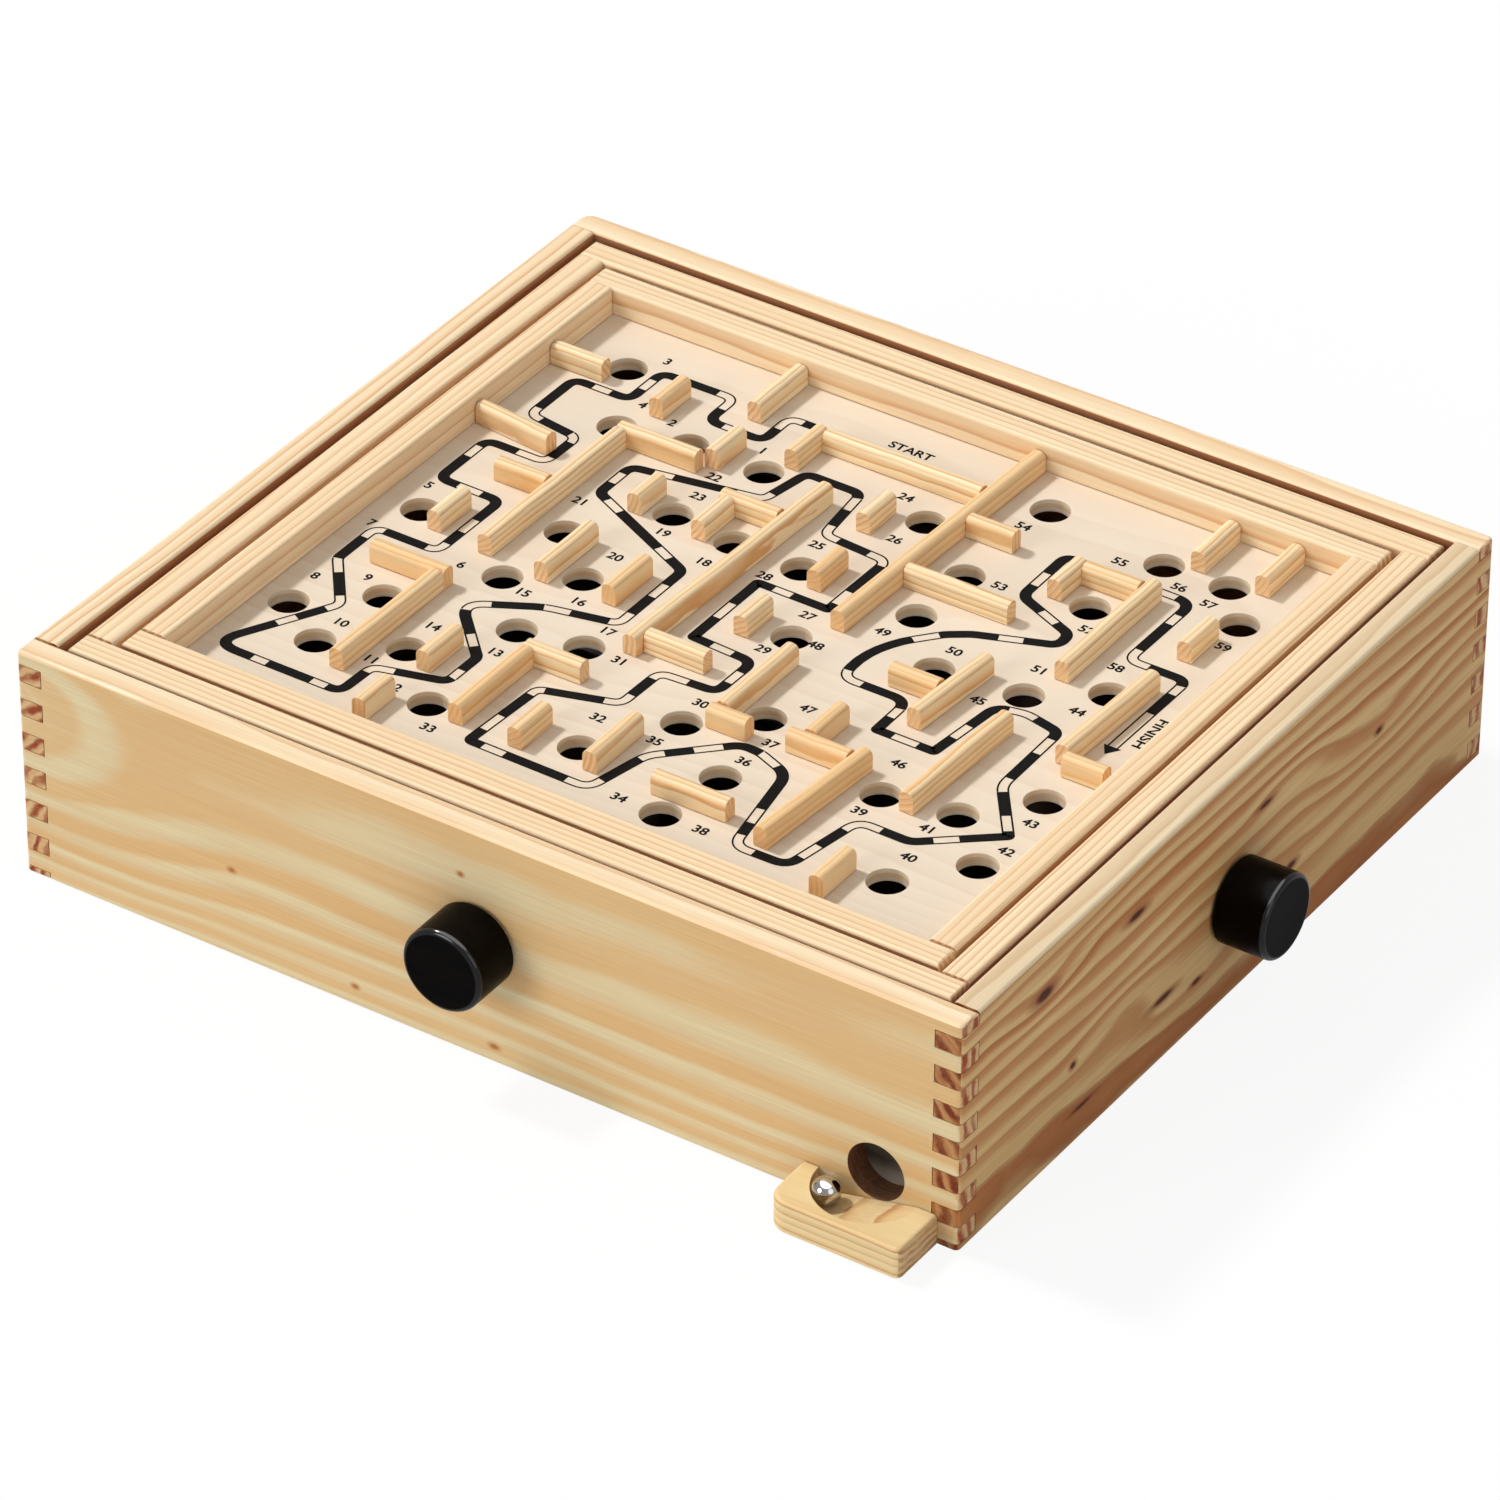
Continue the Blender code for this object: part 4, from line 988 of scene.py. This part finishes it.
bandCells = [
    (-0.187, 0.420, -0.205, 0.391), (-0.235, 0.355, -0.2586, 0.355),
    (-0.2806, 0.387, -0.302, 0.418), (-0.3805, 0.394, -0.3805, 0.370),
    (-0.4055, 0.339, -0.432, 0.339), (-0.457, 0.255, -0.440, 0.2356),
    (-0.395, 0.2255, -0.385, 0.210), (-0.386, 0.168, -0.424, 0.153),
    (-0.467, 0.136, -0.467, 0.109), (-0.441, 0.0447, -0.410, 0.0447),
    (-0.3825, -0.008, -0.3825, -0.044), (-0.3825, -0.074, -0.397, -0.097),
    (-0.454, -0.097, -0.467, -0.121), (-0.467, -0.181, -0.4495, -0.207),
    (-0.419, -0.249, -0.417, -0.286), (-0.434, -0.322, -0.446, -0.345),
    (-0.431, -0.4245, -0.409, -0.4245), (-0.349, -0.4245, -0.330, -0.4245),
    (-0.309, -0.369, -0.285, -0.3505), (-0.2238, -0.322, -0.2238, -0.300),
    (-0.238, -0.248, -0.254, -0.2276), (-0.286, -0.185, -0.272, -0.1586),
    (-0.219, -0.125, -0.187, -0.1165), (-0.143, -0.105, -0.1315, -0.074),
    (-0.131, -0.030, -0.131, 0.005), (-0.1575, 0.054, -0.182, 0.069),
    (-0.257, 0.108, -0.2815, 0.1245), (-0.299, 0.1625, -0.299, 0.187),
    (-0.270, 0.2115, -0.248, 0.214), (-0.171, 0.2325, -0.1345, 0.254),
    (-0.0487, 0.308, -0.0455, 0.280), (-0.0425, 0.237, -0.022, 0.213),
    (0.023, 0.2096, 0.0476, 0.195), (0.0467, 0.123, 0.0467, 0.089),
    (-0.002, 0.074, -0.027, 0.074), (-0.0487, 0.0145, -0.0487, -0.019),
    (-0.024, -0.075, 0.006, -0.077), (0.0341, -0.109, 0.0341, -0.133),
    (-0.004, -0.162, -0.0405, -0.182), (-0.0414, -0.2276, -0.0596, -0.2545),
    (-0.124, -0.278, -0.135, -0.298), (-0.140, -0.353, -0.140, -0.390),
    (-0.120, -0.421, -0.093, -0.421), (-0.012, -0.423, 0.0227, -0.401),
    (0.035, -0.335, 0.052, -0.307), (0.0755, -0.280, 0.096, -0.256),
    (0.138, -0.241, 0.1666, -0.2535), (0.200, -0.340, 0.202, -0.373),
    (0.206, -0.399, 0.233, -0.422), (0.2804, -0.398, 0.285, -0.364),
    (0.292, -0.3195, 0.324, -0.293), (0.381, -0.278, 0.404, -0.258),
    (0.437, -0.208, 0.422, -0.1855), (0.396, -0.1435, 0.387, -0.113),
    (0.3844, -0.048, 0.385, -0.014), (0.3515, 0.0145, 0.319, 0.014),
    (0.295, -0.045, 0.2927, -0.078), (0.270, -0.1165, 0.240, -0.1165),
    (0.2172, -0.086, 0.2172, -0.063), (0.1576, -0.0435, 0.131, -0.026),
    (0.155, 0.076, 0.175, 0.1026), (0.231, 0.142, 0.258, 0.154),
    (0.271, 0.2086, 0.243, 0.220), (0.2105, 0.266, 0.2105, 0.2995),
    (0.250, 0.346, 0.275, 0.346), (0.332, 0.346, 0.357, 0.346),
    (0.3755, 0.314, 0.3755, 0.287), (0.3747, 0.219, 0.403, 0.191),
    (0.450, 0.179, 0.450, 0.1565), (0.449, 0.104, 0.449, 0.017),
]


def bandLine():
    # the band's middle line with its corners rounded, in close steps
    spots = [onBoard(corner).xy for corner in bandCorners]
    line = [spots[0]]
    for index in range(1, len(spots) - 1):
        before, spot, after = spots[index - 1:index + 2]
        corner = bandCorners[index]
        bend = corner[2] * mm if len(corner) > 2 else band["bend"]
        inWay, outWay = (spot - before).normalized(), (after - spot).normalized()
        turn = inWay.angle(outWay, 0)
        shorter = min((spot - before).length, (after - spot).length)
        reach = min(bend * math.tan(turn / 2), shorter * band["bendShare"])
        first, last = spot - inWay * reach, spot + outWay * reach
        steps = max(2, round(math.degrees(turn) / band["bendStep"]))
        for step in range(steps + 1):
            share = step / steps
            line.append(first.lerp(spot, share).lerp(spot.lerp(last, share), share))
    return line + [spots[-1]]


def bandStations(line):
    # points no more than a millimetre apart, each with its way along the line so far
    made, travelled = [(line[0], 0.0)], 0.0
    for first, second in zip(line, line[1:]):
        span = (second - first).length
        pieces = max(1, math.ceil(span / mm))
        for piece in range(1, pieces + 1):
            made.append((first.lerp(second, piece / pieces), travelled + span * piece / pieces))
        travelled += span
    return made


def nearestAlong(stations, spot, after):
    # how far along the line the spot lies, looking only a little way on
    near = [station for station in stations
            if after - mm < station[1] < after + band["lookAhead"]]
    return min(near, key=lambda station: (station[0] - spot).length)[1]


def sidePoints(line, offset):
    # the line moved sideways, mitred at its corners
    moved = []
    for index, spot in enumerate(line):
        ways = []
        if index:
            ways.append((spot - line[index - 1]).normalized())
        if index < len(line) - 1:
            ways.append((line[index + 1] - spot).normalized())
        way = sum(ways, Vector((0, 0))).normalized()
        share = max(band["mitre"], way.dot(ways[0]))
        moved.append(spot + Vector((-way.y, way.x)) * offset / share)
    return moved


def addRibbon(shape, line, low, high):
    sides = [[shape.verts.new((*spot, boardTop + band["lift"])) for spot in sidePoints(line, side)]
             for side in (low, high)]
    for index in range(len(line) - 1):
        shape.faces.new((sides[0][index], sides[0][index + 1], sides[1][index + 1],
                         sides[1][index]))


def thicken(shape):
    raised = bmesh.ops.extrude_face_region(shape, geom=shape.faces[:], use_keep_orig=True)["geom"]
    tops = [part for part in raised if isinstance(part, bmesh.types.BMVert)]
    bmesh.ops.translate(shape, verts=tops, vec=up * band["thick"])
    bmesh.ops.recalc_face_normals(shape, faces=shape.faces)


def makeBand():
    stations = bandStations(bandLine())
    marks, reached = [0.0], 0.0
    for cell in bandCells:
        for share in (cell[:2], cell[2:]):
            reached = nearestAlong(stations, onBoard(share).xy, reached)
            marks.append(reached)
    marks.append(stations[-1][1])
    dashes, outlines = bmesh.new(), bmesh.new()
    half, slack = band["width"] / 2, band["slack"]
    for index, (start, end) in enumerate(zip(marks, marks[1:])):
        line = [station[0] for station in stations if start - slack <= station[1] <= end + slack]
        if len(line) < 2:
            continue
        if index % 2:
            addRibbon(outlines, line, half - band["line"], half)
            addRibbon(outlines, line, -half, -half + band["line"])
        else:
            addRibbon(dashes, line, -half, half)
    wide, foot, point = band["arrowHalf"], onBoard(band["arrowFoot"]), onBoard(band["arrowTip"])
    corners = [(foot.x - wide, foot.y), (foot.x + wide, foot.y), (point.x, point.y)]
    dashes.faces.new([dashes.verts.new((*corner, boardTop + band["lift"])) for corner in corners])
    addPrint("bandDashes", dashes)
    addPrint("bandOutlines", outlines)


def addPrint(name, shape):
    thicken(shape)
    addPiece(name, shape, "printInk", "maze", (), 30)


labels = {"bold": 0.025, "mitre": 0.7, "weld": 0.0005, "curveSteps": 4, "height": 3.3 * mm,
          "pairWidth": 4.6 * mm, "wordHeight": 3.3 * mm,
          "startPlace": (-0.052, 0.443), "startWidth": 14.1 * mm,
          "finishPlace": (0.471, 0.067), "finishWidth": 15.0 * mm}
numberPlaces = [
    (-0.193, 0.335), (-0.3115, 0.324), (-0.389, 0.444), (-0.361, 0.338), (-0.468, 0.0235),
    (-0.344, -0.105), (-0.477, -0.090), (-0.467, -0.230), (-0.416, -0.196), (-0.387, -0.298),
    (-0.319, -0.344), (-0.266, -0.377), (-0.212, -0.243), (-0.298, -0.240), (-0.254, -0.1125),
    (-0.192, -0.090), (-0.1315, -0.125), (-0.121, 0.075), (-0.192, 0.102), (-0.210, 0.021),
    (-0.3085, 0.103), (-0.209, 0.247), (-0.202, 0.1975), (-0.005, 0.347), (-0.0355, 0.189),
    (0.031, 0.256), (0.034, 0.047), (-0.050, 0.092), (0.029, -0.048), (0.031, -0.192),
    (-0.091, -0.171), (-0.047, -0.290), (-0.1905, -0.427), (0.057, -0.418), (0.029, -0.292),
    (0.131, -0.267), (0.137, -0.2165), (0.164, -0.419), (0.286, -0.276), (0.376, -0.3235),
    (0.363, -0.260), (0.457, -0.246), (0.451, -0.1795), (0.381, 0.058), (0.279, 0.009),
    (0.273, -0.163), (0.134, -0.127), (0.073, -0.003), (0.120, 0.070), (0.207, 0.084),
    (0.303, 0.109), (0.306, 0.219), (0.179, 0.241), (0.137, 0.375), (0.265, 0.375),
    (0.347, 0.3675), (0.392, 0.355), (0.372, 0.168), (0.449, 0.283),
]


def swell(shape, amount):
    # moves a flat shape's outline outwards
    outward = {}
    for edge in shape.edges:
        if edge.is_boundary:
            start, end = [vert.co for vert in edge.verts]
            out = (end - start).normalized().cross(up)
            if out.dot(edge.link_faces[0].calc_center_median() - start) > 0:
                out = -out
            for vert in edge.verts:
                outward.setdefault(vert, []).append(out)
    for vert, outs in outward.items():
        way = sum(outs, Vector()).normalized()
        vert.co += way * amount / max(labels["mitre"], way.dot(outs[0]))


def letterShape(words):
    # flat letters as a mesh, one unit of type high
    curve = bpy.data.curves.new("letters", "FONT")
    curve.body, curve.size, curve.resolution_u = words, 1.0, labels["curveSteps"]
    shape = appliedShape(linked("letters", curve))
    bpy.data.curves.remove(curve)
    bmesh.ops.remove_doubles(shape, verts=shape.verts, dist=labels["weld"])
    swell(shape, labels["bold"])
    return shape


def spanOf(shape):
    xs = [vert.co.x for vert in shape.verts]
    ys = [vert.co.y for vert in shape.verts]
    return Vector((min(xs), min(ys), 0)), Vector((max(xs), max(ys), 0))


def addWords(target, words, share, height, width=None, widen=1.0, turn=0.0):
    shape = letterShape(words)
    low, high = spanOf(shape)
    size = height / (high.y - low.y)
    across = width / (high.x - low.x) if width else size * widen
    bmesh.ops.translate(shape, verts=shape.verts, vec=-(low + high) / 2)
    bmesh.ops.scale(shape, verts=shape.verts, vec=(across, size, 1))
    bmesh.ops.rotate(shape, verts=shape.verts, cent=(0, 0, 0), matrix=aboutUp(turn))
    bmesh.ops.translate(shape, verts=shape.verts, vec=onBoard(share, band["lift"]))
    mesh = bpy.data.meshes.new("letters")
    shape.to_mesh(mesh)
    shape.free()
    target.from_mesh(mesh)
    bpy.data.meshes.remove(mesh)


def makeLabels():
    pair = letterShape("00")
    low, high = spanOf(pair)
    pair.free()
    widen = labels["pairWidth"] / (high.x - low.x) / (labels["height"] / (high.y - low.y))
    numbers, words = bmesh.new(), bmesh.new()
    for index, share in enumerate(numberPlaces):
        addWords(numbers, str(index + 1), share, labels["height"], None, widen)
    for word, turn in (("start", 0), ("finish", -math.pi / 2)):
        addWords(words, word.upper(), labels[word + "Place"], labels["wordHeight"],
                 labels[word + "Width"], turn=turn)
    addPrint("boardNumbers", numbers)
    addPrint("boardWords", words)


makeBand()
makeLabels()
print("print made:", len(bandCells), "cells,", len(numberPlaces), "numbers")


# Knobs, turned from black-stained wood

knob = {"radius": 12.5 * mm, "length": 16 * mm, "arris": 1.5 * mm, "foot": 0.7 * mm,
        "dish": 0.12 * mm, "rise": 1.6, "bore": 2.8 * mm, "boreDepth": 12 * mm,
        "rimShare": 0.98, "steps": 96, "arrisSteps": 6}


def knobProfile():
    radius, length, arris = knob["radius"], knob["length"], knob["arris"]
    points = [(0, length - knob["dish"]), (radius / 2, length - knob["dish"] / 2),
              (radius - arris * knob["rise"], length)]
    for step in range(knob["arrisSteps"] + 1):
        angle = math.pi / 2 * step / knob["arrisSteps"]
        points.append((radius - arris * (1 - math.sin(angle)),
                       length - arris * (1 - math.cos(angle))))
    return points + [(radius, knob["foot"]), (radius - knob["foot"], 0), (knob["bore"], 0),
                     (knob["bore"], knob["boreDepth"]), (0, knob["boreDepth"])]


def makeKnob(name, out):
    node = nodeOf(name)
    low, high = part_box(node)
    middle = (low + high) / 2
    start = middle - out * knob["length"] / 2
    shape = bmesh.new()
    verts = [shape.verts.new((x, 0, z)) for x, z in knobProfile()]
    edges = [shape.edges.new(pair) for pair in zip(verts, verts[1:])]
    bmesh.ops.spin(shape, geom=verts + edges, cent=(0, 0, 0), axis=(0, 0, 1), dvec=(0, 0, 0),
                   angle=2 * math.pi, steps=knob["steps"], use_merge=True, use_duplicate=False)
    bmesh.ops.remove_doubles(shape, verts=shape.verts, dist=fine["weld"])
    bmesh.ops.recalc_face_normals(shape, faces=shape.faces)
    bmesh.ops.rotate(shape, verts=shape.verts, cent=(0, 0, 0),
                     matrix=up.rotation_difference(out).to_matrix())
    bmesh.ops.translate(shape, verts=shape.verts, vec=start)
    layGrain(shape, shape.verts, out.cross(up).normalized(), middle, randomShift())
    # the tint marks the rim, where the lacquer is thick
    tints = grainLayers(shape)[1]
    inner = knob["arris"] * knob["rimShare"]
    for vert in shape.verts:
        height = (vert.co - start).dot(out)
        away = (vert.co - start - out * height).length
        onRim = height > knob["length"] - inner and away > knob["radius"] - inner
        vert[tints] = 1.0 if onRim else 0.0
    addPiece(name, shape, "blackStain", node, (node,), 40)


makeKnob("frontKnob", Vector((0, -1, 0)))
makeKnob("rightKnob", xWay)
print("knobs made")


# Cords and springs under the board

cords = {"radius": 0.5 * mm, "axle": 2.5 * mm, "gap": 0.3 * mm, "turns": 2, "pitch": 1.5 * mm,
         "aside": 12 * mm, "bend": 3 * mm, "seat": 3 * mm, "railBottom": 56 * mm,
         "springRadius": 1.3 * mm, "springWire": 0.22 * mm, "springLength": 14 * mm,
         "springTurns": 16, "fromRail": 8 * mm, "stiff": 4 * mm, "nearShare": 0.85,
         "farShare": 1.25, "bendSteps": 8, "turnSteps": 36, "coilSteps": 16, "growSteps": 8,
         "runSteps": 12, "tailSteps": 3, "sides": 3}


def tubeShape(points, radius):
    curve = bpy.data.curves.new("tube", "CURVE")
    curve.dimensions, curve.use_fill_caps = "3D", True
    curve.bevel_depth, curve.bevel_resolution = radius, cords["sides"]
    spline = curve.splines.new("POLY")
    spline.points.add(len(points) - 1)
    for made, point in zip(spline.points, points):
        made.co = (*point, 1)
    shape = appliedShape(linked("tube", curve))
    bpy.data.curves.remove(curve)
    return shape


def cordRoute(reach, axleHeight):
    # the route of one cord, as (along the axle, across it, height)
    drum = cords["axle"] + cords["gap"] + cords["radius"]
    bend, bottom, shift = cords["bend"], cords["railBottom"], cords["turns"] * cords["pitch"] / 2
    across, rise = reach - bend, bottom - axleHeight
    angle = math.atan2(rise, across) - math.asin((drum + bend) / math.hypot(across, rise))
    ends = []
    for side in (-1, 1):
        points = []
        for step in range(cords["bendSteps"] + 1):
            turn = (math.pi / 2 - angle) * (1 - step / cords["bendSteps"])
            points.append(Vector((side * shift, side * (reach - bend * (1 - math.cos(turn))),
                                  bottom - bend * math.sin(turn))))
        points.append(Vector((side * shift, side * reach, bottom + cords["seat"] - cords["gap"])))
        ends.append(points)
    turns = []
    swept = 2 * math.pi * cords["turns"] - 2 * angle
    steps = cords["turns"] * cords["turnSteps"]
    for step in range(steps + 1):
        turn = angle + swept * step / steps
        turns.append(Vector((2 * shift * (step / steps - 0.5), drum * math.sin(turn),
                             axleHeight + drum * math.cos(turn))))
    return ends[0], turns, ends[1], Vector((0, math.cos(angle), math.sin(angle)))


def divided(start, end, count=cords["runSteps"]):
    return [start.lerp(end, step / count) for step in range(count + 1)]


def coilPoints(start, end, way):
    side = way.cross(xWay).normalized()
    steps, growing = cords["springTurns"] * cords["coilSteps"], cords["growSteps"]
    points = []
    for step in range(steps + 1):
        turn = 2 * math.pi * cords["springTurns"] * step / steps
        grow = min(1, step / growing, (steps - step) / growing)
        away = xWay * math.cos(turn) + side * math.sin(turn)
        points.append(start.lerp(end, step / steps) + away * cords["springRadius"] * grow)
    return points


def makeCord(kind, reach, axleHeight, knobBody, frameBodies, alongX):
    left, turns, right, way = cordRoute(reach, axleHeight)
    springEnd = right[0] - way * cords["fromRail"]
    springStart = springEnd - way * cords["springLength"]

    def toRow(point):
        along, across, height = point
        spot = (cords["aside"] + along, across) if alongX else (across, cords["aside"] + along)
        return caseMiddle + Vector((*spot, height))

    leftMiddle, rightMiddle = left[0].lerp(turns[0], 0.5), turns[-1].lerp(springStart, 0.5)
    tail = divided(springEnd, right[0], cords["tailSteps"]) + right[1:]
    cordNode, springNode = kind + "_cord", kind + "_cord_spring"
    parts = [
        ("CordWinding", turns, 0, "near"),
        ("CordLeft", divided(leftMiddle, turns[0]), -1, "near"),
        ("CordLeftEnd", left[::-1] + divided(left[0], leftMiddle)[1:], -1, "far"),
        ("CordRight", divided(turns[-1], rightMiddle), 1, "near"),
        ("CordRightEnd", divided(rightMiddle, springStart), 1, "far"),
        ("CordSpring", coilPoints(springStart, springEnd, way) + tail, 1, "far"),
    ]
    # spans for the length near the axle and the far one, with the first two frame bodies for the
    # near one and the last two for the far one; nothing uses them, and these lengths stay where they
    # are
    spans = dict.fromkeys(("near", "far"), (cords["stiff"], reach))
    if len(frameBodies) > 2:
        spans = {"near": (cords["stiff"], -leftMiddle.y * cords["nearShare"]),
                 "far": (rightMiddle.y * cords["farShare"], reach)}
    for name, points, side, half in parts:
        steel = name == "CordSpring"
        shape = tubeShape([toRow(point) for point in points],
                          cords["springWire"] if steel else cords["radius"])
        piece = shapeObject(kind + name, shape)
        piece.data.materials.append(surfaces["rodSteel" if steel else "blackCord"])
        piece.data.shade_smooth()
        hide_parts(springNode if steel else cordNode)
        if side == 0:
            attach(piece, knobBody)
            continue
        start, end = [toRow(Vector((0, side * along, 0))) for along in spans[half]]
        first, second = frameBodies[:2] if half == "near" else frameBodies[-2:]
        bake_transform(piece)


# The cords end in the middle of the rails, on the inner frame in what the rebate leaves
outerReach = rails["outerReach"][1] - rails["outerWidth"] / 2
mazeReach = rails["innerReach"][0] - (rails["innerWidth"] - rails["rebate"]) / 2
makeCord("outer", outerReach, panel["rightAxle"], "right_knob", ("case", "outer_frame"), True)
makeCord("maze", mazeReach, panel["frontAxle"], "front_knob", ("case", "outer_frame", "maze"),
         False)
print("cords made")


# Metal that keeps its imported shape

for node in ("front_axle", "right_axle", "outer_pin_left", "outer_pin_right",
             "inner_pin_front", "inner_pin_back"):
    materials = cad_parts[node].data.materials
    materials.clear()
    materials.append(surfaces["rodSteel"])


# Floor, lamps and a white surround

studio = {"world": 0.36, "mirrored": 0.42, "overhead": 3.0, "overheadHeights": (0.72, 0.82),
          "floorGlow": 0.9, "floorSize": 4, "floorDrop": 0.2 * mm, "floorShade": 0.92,
          "floorRough": 0.9, "white": (1, 1, 1, 1)}
lamps = {
    "key": {"energy": 2.2, "angle": 8, "way": (0.80, 0.02, -1.0)},
    "fill": {"energy": 1.0, "angle": 28, "way": (0.45, 1.0, -0.42)},
    "side": {"energy": 0.4, "angle": 40, "way": (-1.0, 0.4, -0.5)},
}


def raysOf(tree):
    # whether the camera looks straight at a place, and whether a shiny thing mirrors it
    seen = Field(tree).node("ShaderNodeLightPath", {}, {})
    return seen, Field(tree, seen.socket.node.outputs["Is Glossy Ray"])


def makeStudioFloor():
    shape = bmesh.new()
    bmesh.ops.create_grid(shape, x_segments=1, y_segments=1, size=studio["floorSize"])
    floor = shapeObject("studioFloor", shape)
    floor.location.z = -studio["floorDrop"]
    material = bpy.data.materials.new("paleFloor")
    material.use_nodes = True
    tree = material.node_tree
    shader = tree.nodes["Principled BSDF"]
    shader.inputs["Base Color"].default_value = (*[studio["floorShade"]] * 3, 1)
    shader.inputs["Roughness"].default_value = studio["floorRough"]
    seen, mirrored = raysOf(tree)
    glow = seen.node("ShaderNodeEmission", {}, {
        "Color": studio["white"], "Strength": seen + mirrored * studio["mirrored"]})
    mixed = seen.node("ShaderNodeMixShader", {}, {
        0: (seen + mirrored).least(1.0) * studio["floorGlow"],
        1: Field(tree, shader.outputs[0]), 2: glow})
    tree.links.new(mixed.socket, tree.nodes["Material Output"].inputs["Surface"])
    floor.data.materials.append(material)


def makeSurround():
    world = bpy.data.worlds.new("whiteRoom")
    bpy.context.scene.world = world
    world.use_nodes = True
    tree = world.node_tree
    seen, glossy = raysOf(tree)
    way = seen.node("ShaderNodeTexCoord", {}, {})
    dim, bright = studio["overheadHeights"]
    overhead = seen.node("ShaderNodeSeparateXYZ", {}, {0: way}, 2).ramp((dim, 0.0), (bright, 1.0))
    mirrored = glossy * (
        overhead * studio["overhead"] + (studio["mirrored"] - studio["world"]))
    strength = seen * (1 - studio["world"]) + mirrored + studio["world"]
    background = tree.nodes["Background"]
    background.inputs["Color"].default_value = studio["white"]
    tree.links.new(strength.socket, background.inputs["Strength"])


def makeLamps():
    for name, values in lamps.items():
        data = bpy.data.lights.new(name + "Lamp", "SUN")
        data.energy, data.angle = values["energy"], math.radians(values["angle"])
        lamp = linked(name + "Lamp", data)
        lamp.rotation_euler = Vector(values["way"]).to_track_quat("-Z", "Y").to_euler()


makeStudioFloor()
makeSurround()
makeLamps()
bpy.context.scene.view_settings.view_transform = "Standard"
print("studio made")
